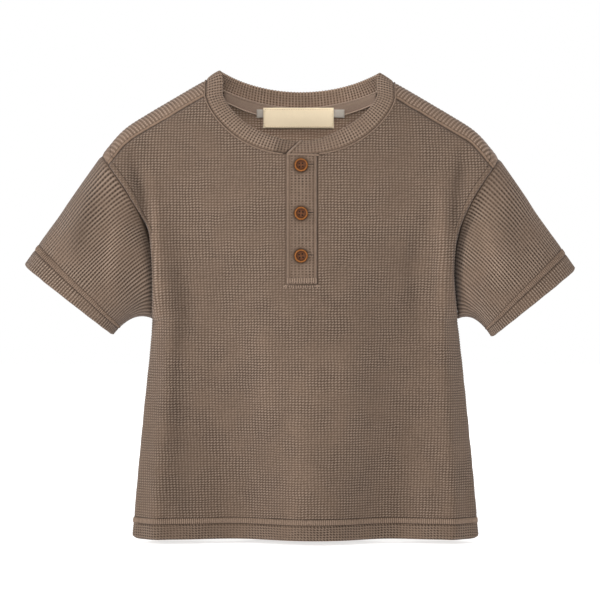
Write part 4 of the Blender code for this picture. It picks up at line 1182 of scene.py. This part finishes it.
class Nodes:
    """Short ways to add and join the nodes of one material."""

    def __init__(self, name):
        self.material = bpy.data.materials.new(name)
        self.material.use_nodes = True
        self.tree = self.material.node_tree
        self.shader = self.tree.nodes["Principled BSDF"]

    def add(self, kind, **settings):
        node = self.tree.nodes.new(kind)
        for key, value in settings.items():
            setattr(node, key, value)
        return node

    def join(self, source, target):
        self.tree.links.new(source.socket if isinstance(source, Value) else source, target)

    def math(self, operation, *values):
        node = self.add("ShaderNodeMath", operation=operation)
        for socket, value in zip(node.inputs, values):
            if isinstance(value, Value):
                self.join(value, socket)
            else:
                socket.default_value = value
        return Value(self, node.outputs[0])

    def split(self, vector):
        node = self.add("ShaderNodeSeparateXYZ")
        self.join(vector, node.inputs[0])
        return [Value(self, socket) for socket in node.outputs]

    def uv(self, title):
        return self.split(self.add("ShaderNodeUVMap", uv_map=title).outputs[0])[:2]

    def place(self):
        return self.add("ShaderNodeTexCoord").outputs["Object"]

    def off_axis(self):
        """Distance from the object's own upright axis, in metres."""
        x, y, _ = self.split(self.place())
        return self.math("SQRT", x * x + y * y)

    def noise(self, scale, detail=2.0, roughness=0.5):
        node = self.add("ShaderNodeTexNoise")
        for title, number in (("Scale", scale), ("Detail", detail), ("Roughness", roughness)):
            node.inputs[title].default_value = number
        self.join(self.place(), node.inputs["Vector"])
        return Value(self, node.outputs["Fac"])

    def between(self, value, start, end, low=0.0, high=1.0):
        """From low to high, level at both, as the value goes from start to end."""
        node = self.add("ShaderNodeMapRange", interpolation_type="SMOOTHSTEP")
        self.join(value, node.inputs["Value"])
        for title, number in (("From Min", start), ("From Max", end), ("To Min", low), ("To Max", high)):
            node.inputs[title].default_value = number
        return Value(self, node.outputs["Result"])

    def groove(self, height, distance, place, half, depth):
        """The height with a soft line sunk into it where the distance is place."""
        return height - self.between(self.math("ABSOLUTE", distance - place), 0.0, half, 1.0, 0.0) * depth

    def ramp(self, value, stops):
        node = self.add("ShaderNodeValToRGB")
        spots = node.color_ramp.elements
        while len(spots) < len(stops):
            spots.new(0.5)
        for spot, (place, colour) in zip(spots, stops):
            spot.position = place
            spot.color = (*colour, 1.0)
        self.join(value, node.inputs[0])
        return node.outputs["Color"]

    def colour(self, colour, value):
        """The shader's colour, made darker or lighter by a value."""
        node = self.add("ShaderNodeMix", data_type="RGBA", blend_type="MULTIPLY")
        node.inputs["Factor"].default_value = 1.0
        self.join(colour, node.inputs["A"])
        grey = self.add("ShaderNodeCombineColor")
        for socket in grey.inputs[:3]:
            self.join(value, socket)
        self.join(grey.outputs[0], node.inputs["B"])
        self.join(node.outputs["Result"], self.shader.inputs["Base Color"])

    def bump(self, height, distance, strength):
        node = self.add("ShaderNodeBump")
        node.inputs["Strength"].default_value = strength
        node.inputs["Distance"].default_value = distance
        self.join(height, node.inputs["Height"])
        self.join(node.outputs["Normal"], self.shader.inputs["Normal"])

    def finish(self, roughness, sheen=0.0, tint=(1.0, 1.0, 1.0), specular=0.3):
        for title, value in (("Roughness", roughness), ("Sheen Weight", sheen), ("Sheen Roughness", 0.6),
                             ("Sheen Tint", (*tint, 1.0)), ("Specular IOR Level", specular)):
            self.shader.inputs[title].default_value = value
        return self.material


def knit_material(name, across, along, corner, slant, hem_band=None, dark_seam=1.0, trims=False,
                  end_fold=False, buttons=False, tone_and_light=1.0, strip_light=1.0):
    """Waffle knit whose ridges and pits follow the Knit map's counts, with painted shade in the pits and
    painted highlight on the crests.
    """
    nodes = Nodes(name)
    between, groove = nodes.between, nodes.groove
    # painted shade carried in the Shade map; below zero it is a painted highlight
    dark, _ = nodes.uv("Shade")
    u, v = nodes.uv("Knit")
    seam, hem = nodes.uv("Edge")
    arm, welt = nodes.uv("Trim")
    u_turn, v_turn = u * (2.0 * math.pi), v * (2.0 * math.pi)
    cos_u, cos_v = nodes.math("COSINE", u_turn), nodes.math("COSINE", v_turn)
    height = cos_u * across + cos_v * along + nodes.math("SINE", u_turn) * nodes.math("SINE", v_turn) * slant
    if trims:
        strip = between(welt, *SHOULDER_STRIP, 1.0, 0.0)
        height = height * (1.0 - strip) + (cos_u * 0.42 + cos_v * 0.14) * strip
    calm = between(seam, 0.8, 2.0, 0.15, 1.0)
    if hem_band:
        low, high = hem_band
        corner = between(hem, low - 0.5, low, 1.0, 0.0) * (-2.2 * corner) + corner
        band = between(hem, low - 0.2, low + 0.4) * between(hem, high - 0.4, high + 0.2, 1.0, 0.0)
        calm = calm * (1.0 - band)
    if trims:
        calm = calm * between(arm, ARM_STITCHING - 0.5, ARM_STITCHING + 0.5, 0.55, 1.0)
        calm = calm * between(welt, WELT - 0.4, WELT + 0.4, 0.05, 1.0)
    if end_fold:
        calm = calm * between(hem, 2.0, 3.0, 0.1, 1.0)
    if buttons:
        calm = calm * between(welt, 0.5, 5.0, 0.25, 1.0) * between(seam, 2.6, 3.6, 0.2, 1.0)
    contrast = between(nodes.noise(42.0), 0.32, 0.68, 0.62, 1.25)
    height = (height + cos_u * cos_v * corner) * contrast * calm
    if end_fold:
        # the band's folded end is smooth and drawn lighter, partly a painted highlight, with a groove beside
        # it
        height = groove(height + between(hem, 1.4, 2.6, 0.45, 0.0), hem, 3.0, 0.8, 0.4)
        # painted shadow on the under end of the band, beside the slanted edge that laps over it
        height = height - between(arm, 0.3, 2.6, 0.9, 0.0)
    if buttons:
        # painted shadow on the placket round each button
        height = height - between(welt, -1.0, 1.9, 0.8, 0.0) + between(seam, 1.2, 2.4, 0.22, 0.0)
        height = groove(height, seam, 2.9, 0.7, 0.3)
    if hem_band:
        height = groove(groove(height - band * 0.1, hem, low, 0.9, 0.75), hem, high, 0.9, 0.5)
    if trims:
        height = groove(groove(height, arm, ARM_STITCHING, 0.8, 0.55), welt, WELT, 0.6, 0.5)
    height = height - between(seam, 0.0, 1.1, 0.85 * dark_seam, 0.0)
    yarn = (nodes.noise(1500.0, 3.0, 0.7) - 0.5) * 0.55
    blotch = (nodes.noise(380.0) - 0.5) * 0.35
    level = (height + yarn + blotch) * 0.5 + 0.5
    # this factor scales the knit's colour; for the inside copy it is painted light
    patches = between(nodes.noise(45.0, 3.0), 0.3, 0.7, 0.96 * tone_and_light, 1.04 * tone_and_light)
    if trims:
        # painted light: the shoulder strip is drawn lighter than the rest of the same knit
        patches = patches * between(welt, *SHOULDER_STRIP, strip_light / tone_and_light, 1.0)
    if end_fold:
        # painted light: past its fold, the band's inner side is drawn 1.7 times lighter
        patches = patches * between(v, 6.4, 7.0, 1.0, 1.7)
    # colour by the knit's height, painted shade in the pits and painted highlight on the crests, times the
    # Shade map's painted shade
    nodes.colour(nodes.ramp(level, ((0.10, PIT), (0.50, MIDDLE), (0.92, CREST))), patches * (1.0 - dark))
    nodes.bump(level, 0.0009, 0.8)
    return nodes.finish(0.92, sheen=0.14, tint=WARM, specular=0.12)


def plain_material(name, colour, fuzz=1200.0, depth=0.0002, spread=0.22, patchy=0.06, sheen=0.1):
    """Even cloth or thread with a fine grain."""
    nodes = Nodes(name)
    grain = nodes.noise(fuzz, 3.0, 0.6)
    low = tuple((1.0 - patchy) * part for part in colour)
    high = tuple(min(1.0, (1.0 + patchy) * part) for part in colour)
    nodes.colour(nodes.ramp(nodes.noise(60.0, 3.0), ((0.3, low), (0.7, high))),
                 nodes.between(grain, 0.25, 0.75, 1.0 - spread, 1.0 + spread))
    nodes.bump(grain, depth, 0.6)
    return nodes.finish(0.88, sheen=sheen, tint=WARM, specular=0.15)


def button_material():
    """Brown horn, brighter on the rim and dark in the dish, by distance from the button's axis, with painted
    shade in a ring inside the rim and at the outer edge.
    """
    nodes = Nodes("button_horn")
    grain = nodes.noise(520.0, 4.0, 0.6)
    spot = nodes.off_axis() * (1.0 / (0.5 * BUTTON_DIAMETER * MM)) + (grain - 0.5) * 0.22
    # painted shade: the dark ring at 0.68 is the shade of a groove the section does not have, and the dark
    # outer edge at 0.98
    colour = nodes.ramp(spot, ((0.0, (0.095, 0.033, 0.011)), (0.50, (0.075, 0.025, 0.008)),
                               (0.68, (0.040, 0.013, 0.005)), (0.86, (0.240, 0.085, 0.017)),
                               (0.98, (0.055, 0.018, 0.006))))
    nodes.join(colour, nodes.shader.inputs["Base Color"])
    nodes.bump(grain, 0.00006, 0.5)
    return nodes.finish(0.55, specular=0.12)


# ---- stage, camera and lights ----------------------------------------------

def make_camera():
    data = bpy.data.cameras.new("camera")
    data.sensor_width = SENSOR
    data.lens = SENSOR * CAMERA_DISTANCE / PICTURE_WIDE
    camera = bpy.data.objects.new("camera", data)
    camera.location = (0.0, -CAMERA_DISTANCE, CAMERA_Z)
    camera.rotation_euler = (0.5 * math.pi, 0.0, 0.0)
    bpy.context.scene.collection.objects.link(camera)
    bpy.context.scene.camera = camera


def make_stage():
    """A white floor that glows more with distance, so that it ends nowhere."""
    nodes = Nodes("floor_white")
    nodes.shader.inputs["Base Color"].default_value = (0.86, 0.86, 0.86, 1.0)
    nodes.shader.inputs["Emission Color"].default_value = (1.0, 1.0, 1.0, 1.0)
    glow = nodes.between(nodes.off_axis(), *FLOOR_GLOW_FROM, *FLOOR_GLOW)
    nodes.join(glow, nodes.shader.inputs["Emission Strength"])
    bpy.ops.mesh.primitive_plane_add(size=12.0, location=(0.0, 0.0, (HEM_Z - FLOOR_BELOW) * MM))
    floor = bpy.context.object
    floor.name = "floor"
    floor.data.materials.append(nodes.finish(0.9))


def area_light(name, place, size, power):
    """A round soft light that faces the middle of the shirt."""
    data = bpy.data.lights.new(name, "AREA")
    data.shape = "DISK"
    data.size = size
    data.energy = power
    light = bpy.data.objects.new(name, data)
    light.location = place
    aim = Vector((0.0, 0.0, CAMERA_Z)) - Vector(place)
    light.rotation_euler = aim.to_track_quat("-Z", "Y").to_euler()
    bpy.context.scene.collection.objects.link(light)


def make_lights():
    """A white room that lights less than it shows, and the four soft lights."""
    world = bpy.data.worlds.new("studio")
    world.use_nodes = True
    tree = world.node_tree
    shown = tree.nodes["Background"]
    shown.inputs["Color"].default_value = (1.0, 1.0, 1.0, 1.0)
    shown.inputs["Strength"].default_value = 1.0
    lighting = tree.nodes.new("ShaderNodeBackground")
    lighting.inputs["Color"].default_value = (1.0, 0.985, 0.97, 1.0)
    lighting.inputs["Strength"].default_value = ROOM_LIGHT
    path = tree.nodes.new("ShaderNodeLightPath")
    mix = tree.nodes.new("ShaderNodeMixShader")
    tree.links.new(path.outputs["Is Camera Ray"], mix.inputs[0])
    tree.links.new(lighting.outputs[0], mix.inputs[1])
    tree.links.new(shown.outputs[0], mix.inputs[2])
    tree.links.new(mix.outputs[0], tree.nodes["World Output"].inputs["Surface"])
    bpy.context.scene.world = world
    for name, (place, size, power) in LIGHTS.items():
        area_light(name, place, size, power)
    bpy.context.scene.view_settings.view_transform = "Standard"


# ---- making the shirt ------------------------------------------------------

def declare(pieces, node):
    """The pieces move with the shirt's root, and the imported solid of the node they stand for is hidden."""
    for piece in pieces:
        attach(piece, "root")
    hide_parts(node)


def make_panels(knit, lining, thread):
    for face, field_of, facing in (("front", front_field, 1.0), ("back", back_field, -1.0)):
        name = f"{face}_panel"
        outer = cloth_side(f"{name}_cloth", field_of(OUTSIDE_STEP), knit, facing, panel_relief, rim=WALL)
        lined = field_of(INSIDE_STEP)
        lined["shade"] = inside_shade(lined["place"])
        inner = cloth_side(f"{name}_inside", lined, lining, facing, inside_relief, offset=-WALL)
        declare([outer, inner, hem_stitches(face, thread)], name)


def make_sleeves(knit, thread):
    for side, sizes in SLEEVES.items():
        name = f"sleeve_{side}"
        facing = sizes["side"]
        outer = cloth_side(f"{name}_cloth", sleeve_field(sizes, OUTSIDE_STEP), knit, facing, sleeve_relief,
                           rim=WALL)
        inner = cloth_side(f"{name}_inside", sleeve_field(sizes, INSIDE_STEP), knit, facing, inside_relief,
                           offset=-WALL)
        declare([outer, inner, sleeve_stitches(side, sizes, thread)], name)


def make_band(knit, thread, light_thread):
    band = cloth_side("neckband_cloth", band_field(BAND_STEP), knit, 1.0, band_relief, rim=0.5 * BAND_WALL)
    length = run_along(neck_route(*NECK_FINE))[-1]
    lap = PLACKET_RIGHT - PLACKET_LEFT
    behind = neck_line(0.0, length, 0.0, 0.0)[:, 1]
    inside = np.nonzero(behind > BAND_TURN[1])[0] * CORD_STEP
    first, last = inside[0], inside[-1]
    cords = [tube("neck_seam_cord", neck_line(lap + 2.0, length - lap - 1.0, 0.9, 0.0), 0.6, thread),
             tube("inside_cord_low", neck_line(first, last, 0.3, -WALL - 0.9), 0.55, light_thread),
             tube("inside_cord_high", neck_line(first, last, -1.1, -BAND_WALL - 0.7), 0.55, light_thread)]
    declare([band, *cords], "neckband")


def make_placket(knit, thread, hem_thread, slit):
    strip = strip_field(PLACKET_LEFT, PLACKET_RIGHT, NECK_FRONT_Z, PLACKET_BOTTOM, PLACKET_PROUD,
                        PLACKET_WALE, PLACKET_COURSE, OVER_STRIP_STEP)
    over = cloth_side("placket_over_cloth", strip, knit, 1.0, placket_relief, rim=PLACKET_WALL)
    strip = strip_field(PLACKET_LEFT + 1.0, PLACKET_RIGHT - 0.2, NECK_FRONT_Z, PLACKET_BOTTOM + 2.0,
                        PLACKET_PROUD - UNDER_STRIP_BACK, PLACKET_WALE, PLACKET_COURSE, OUTSIDE_STEP)
    under = cloth_side("placket_under_cloth", strip, knit, 1.0, placket_relief, rim=0.5 * PLACKET_WALL)
    sewn = placket_stitches(hem_thread)
    top_x = np.linspace(PLACKET_LEFT + 0.4, PLACKET_RIGHT + 1.8, 24)
    top = on_body(top_x, NECK_FRONT_Z - 0.4 - 0.03 * (top_x - PLACKET_LEFT), "front", PLACKET_PROUD + 0.5)
    cord = tube("placket_top_cord", top, 0.8, thread)
    slits, edging = [], []
    reach = np.linspace(BUTTON_X + 4.6, PLACKET_RIGHT - 3.2, 9)
    for number, height in enumerate(BUTTON_HEIGHTS, start=1):
        name, z = f"buttonhole_{number}", height + 0.8
        # each slit is a dark flattened cord: painted shade in the buttonhole's opening
        slits.append(tube(name, on_body(reach, z, "front", PLACKET_PROUD + 0.15), 0.5, slit, squash=0.4))
        for place, off in (("low", -0.85), ("high", 0.85)):
            line = on_body(reach, z + off, "front", PLACKET_PROUD + 0.2)
            edging.append(tube(f"{name}_{place}", line, 0.42, thread))
    declare([over, sewn, cord, *slits, *edging], "placket_over")
    declare([under], "placket_under")


def placket_stitches(thread):
    """The box of stitches at the placket's foot, and the small pulls of cloth under it."""
    low, high, pulled = PLACKET_BOTTOM + 1.0, PLACKET_BOTTOM + 5.6, PLACKET_BOTTOM - 2.8
    x = np.arange(PLACKET_LEFT + 1.2, PLACKET_RIGHT - 0.6, 1.95)
    out = PLACKET_PROUD + 0.25
    starts = [on_body(x, low, "front", out)]
    ends = [on_body(x, high, "front", out)]
    short = np.arange(PLACKET_LEFT + 2.2, PLACKET_RIGHT - 1.6, 1.95)
    drift = 0.5 * soft_noise(8, short, 0.0)
    starts.append(on_body(short, PLACKET_BOTTOM - 0.7, "front", 0.3))
    ends.append(on_body(short + drift, pulled + drift, "front", 0.1))
    corners = np.array([PLACKET_LEFT + 0.8, PLACKET_LEFT + 0.2, PLACKET_RIGHT - 0.8, PLACKET_RIGHT - 0.2])
    away = np.array([-1.6, -3.0, 1.6, 3.0])
    starts.append(on_body(corners, PLACKET_BOTTOM - 0.4, "front", 0.3))
    ends.append(on_body(corners + away, PLACKET_BOTTOM - np.array([3.6, 2.4, 3.6, 2.4]), "front", 0.1))
    starts, ends = np.concatenate(starts), np.concatenate(ends)
    normals = np.array([0.0, -1.0, 0.0]) + 0.0 * starts
    return stitches("placket_stitches", starts, ends, normals, 0.62, thread)


def make_inside(tape_cloth, cream, grey, thread, label_thread):
    """Neck tape, size tab and bare label, one behind the other inside the back."""
    depth = WALL + TAPE_GAP

    def tape_top(x):
        return back_neck_z(x) - TAPE_BELOW_SEAM

    def tape_bottom(x):
        return tape_top(x) - TAPE_WIDTH * (1.0 - TAPE_TAPER * (x / TAPE_HALF) ** 2)

    tape = flat_strip("neck_tape_cloth", -TAPE_HALF, TAPE_HALF, tape_top, tape_bottom, depth, TAPE_WALL,
                      tape_cloth, columns=110)
    x = np.linspace(-TAPE_HALF + 1.0, TAPE_HALF - 1.0, 90)
    line = on_body(x, tape_bottom(x) + 0.5, "back", -depth - TAPE_WALL - LAYER_GAP)
    declare([tape, tube("neck_tape_cord", line, 0.65, thread)], "neck_tape")
    depth = depth + TAPE_WALL + LAYER_GAP
    tab = flat_strip("size_tab_cloth", TAB_LEFT, TAB_RIGHT, TAB_TOP, TAB_BOTTOM, depth, TAPE_WALL, grey)
    declare([tab], "size_tab")
    depth = depth + TAPE_WALL + LAYER_GAP
    label = flat_strip("label_cloth", LABEL_LEFT, LABEL_RIGHT, LABEL_TOP, LABEL_BOTTOM, depth, LABEL_WALL,
                       cream, bow=0.7, rows=15)
    declare([label, label_stitches(depth + LABEL_WALL, label_thread)], "label")


def label_stitches(depth, thread):
    """Sewing round the label, a little in from its edges."""
    inset, pitch, thread_length = 1.3, 2.1, 1.4
    left, right = LABEL_LEFT + inset, LABEL_RIGHT - inset
    top, bottom = LABEL_TOP - inset, LABEL_BOTTOM + inset
    across = np.arange(left, right - thread_length, pitch)
    down = np.arange(bottom, top - thread_length, pitch)
    starts, ends = [], []
    for x, z, step_x, step_z in ((across, top, thread_length, 0.0), (across, bottom, thread_length, 0.0),
                                 (left, down, 0.0, thread_length), (right, down, 0.0, thread_length)):
        starts.append(on_body(x, z, "back", -depth - 0.2))
        ends.append(on_body(x + step_x, z + step_z, "back", -depth - 0.2))
    starts, ends = np.concatenate(starts), np.concatenate(ends)
    normals = np.array([0.0, -1.0, 0.0]) + 0.0 * starts
    return stitches("label_stitches", starts, ends, normals, 0.24, thread)


# ---- buttons ---------------------------------------------------------------

def turned(name, section, material):
    """A solid of revolution from (radius, height) pairs in millimetres that start and end on its axis."""
    inner = np.array(section[1:-1])
    angles = np.linspace(0.0, 2.0 * math.pi, BUTTON_TURNS, endpoint=False)
    rings = np.stack([inner[:, :1] * np.cos(angles), inner[:, :1] * np.sin(angles),
                      inner[:, 1:] + 0.0 * angles], axis=-1)
    number = np.arange(len(inner) * BUTTON_TURNS).reshape(len(inner), BUTTON_TURNS)
    after = np.roll(number, -1, axis=1)
    quads = np.stack([number[:-1], after[:-1], after[1:], number[1:]], axis=-1).reshape(-1, 4)
    loops = np.concatenate([quads.ravel(), number[0][::-1], number[-1]])
    sizes = np.concatenate([np.full(len(quads), 4), [BUTTON_TURNS, BUTTON_TURNS]])
    return build_mesh(name, rings.reshape(-1, 3), loops, sizes, {}, material)


def cut_holes(piece, centres):
    """Round holes through a button, cut once and kept."""
    for x, y in centres:
        bpy.ops.mesh.primitive_cylinder_add(vertices=20, radius=0.5 * BUTTON_HOLE * MM,
                                            depth=4.0 * BUTTON_THICK * MM, location=(x * MM, y * MM, 0.0))
        cutter = bpy.context.object
        cut = piece.modifiers.new("hole", "BOOLEAN")
        cut.object = cutter
        cut.solver = "EXACT"
        graph = bpy.context.evaluated_depsgraph_get()
        holed = bpy.data.meshes.new_from_object(piece.evaluated_get(graph))
        piece.modifiers.clear()
        piece.data = holed
        bpy.data.objects.remove(cutter)


def make_buttons(shell, thread):
    radius = 0.5 * BUTTON_DIAMETER
    offset = 0.5 * BUTTON_HOLE_SPACING
    centres = [(x * offset, y * offset) for x in (-1.0, 1.0) for y in (-1.0, 1.0)]
    lift = PLACKET_PROUD + 0.3
    for number, height in enumerate(BUTTON_HEIGHTS, start=1):
        section = [(share * radius, rise * BUTTON_THICK) for share, rise in BUTTON_SECTION]
        piece = turned(f"button_{number}_horn", section, shell)
        cut_holes(piece, centres)
        piece.data.set_sharp_from_angle(angle=math.radians(50.0))
        foot = on_body(BUTTON_X, height, "front", lift)
        facing = on_body(BUTTON_X, height, "front", lift + 1.0) - foot
        tilt = math.atan2(-facing[1], facing[2])
        turn = math.radians(BUTTON_TURNED[number - 1])
        piece.location = foot * MM
        piece.rotation_euler = (Matrix.Rotation(tilt, 3, "X") @ Matrix.Rotation(turn, 3, "Z")).to_euler()
        # near-black posts of thread in the holes, their darkness also painted shade in the holes
        base = np.array([(x, y, -0.6) for x, y in centres])
        posts = stitches(f"button_{number}_thread", base, base + np.array([0.0, 0.0, 1.2]),
                         np.array([1.0, 0.0, 0.0]) + 0.0 * base, 0.55, thread)
        posts.location = piece.location
        posts.rotation_euler = piece.rotation_euler
        declare([piece, posts], f"button_{number}")


def main():
    # the body's shoulder strip is painted lighter than its knit below: painted light
    body = knit_material("waffle_body", 0.30, 0.38, 0.20, 0.28, STITCH_BAND, trims=True,
                         tone_and_light=0.80, strip_light=1.28)
    # the inside is the same knit painted 2.1 times as light: painted light on the inside seen through the
    # neck
    inside = knit_material("waffle_inside", 0.24, 0.34, 0.20, 0.12, tone_and_light=2.1)
    sleeve = knit_material("waffle_sleeve", 0.14, 0.62, -0.16, 0.0, STITCH_BAND, tone_and_light=0.87)
    band = knit_material("waffle_band", 0.44, 0.28, -0.26, 0.0, dark_seam=0.5, end_fold=True, tone_and_light=1.0)
    placket = knit_material("waffle_placket", 0.24, 0.24, -0.26, 0.0, dark_seam=0.25, buttons=True, tone_and_light=0.84)
    thread = plain_material("thread_brown", (0.165, 0.113, 0.081))
    hem_thread = plain_material("thread_hem", (0.215, 0.152, 0.112))
    light_thread = plain_material("thread_light", (0.330, 0.240, 0.182))
    # painted shade for the buttonholes' slits
    shade = plain_material("slit_dark", (0.030, 0.020, 0.015))
    tape_cloth = plain_material("tape_twill", (0.235, 0.166, 0.125), spread=0.12)
    cream = plain_material("label_woven", (0.90, 0.75, 0.53), spread=0.06, fuzz=2200.0, depth=0.00005,
                           patchy=0.02, sheen=0.0)
    label_thread = plain_material("label_thread", (0.66, 0.50, 0.30))
    grey = plain_material("tab_woven", (0.40, 0.36, 0.315), spread=0.10, fuzz=2200.0, depth=0.00005)
    # near-black thread for the buttons' holes, partly thread and partly painted shade in the holes
    hole_shade_thread = plain_material("hole_shade_thread", (0.020, 0.012, 0.008))
    make_camera()
    make_panels(body, inside, hem_thread)
    make_sleeves(sleeve, thread)
    make_band(band, thread, light_thread)
    make_placket(placket, thread, hem_thread, shade)
    make_inside(tape_cloth, cream, grey, light_thread, label_thread)
    make_buttons(button_material(), hole_shade_thread)
    make_stage()
    make_lights()


main()
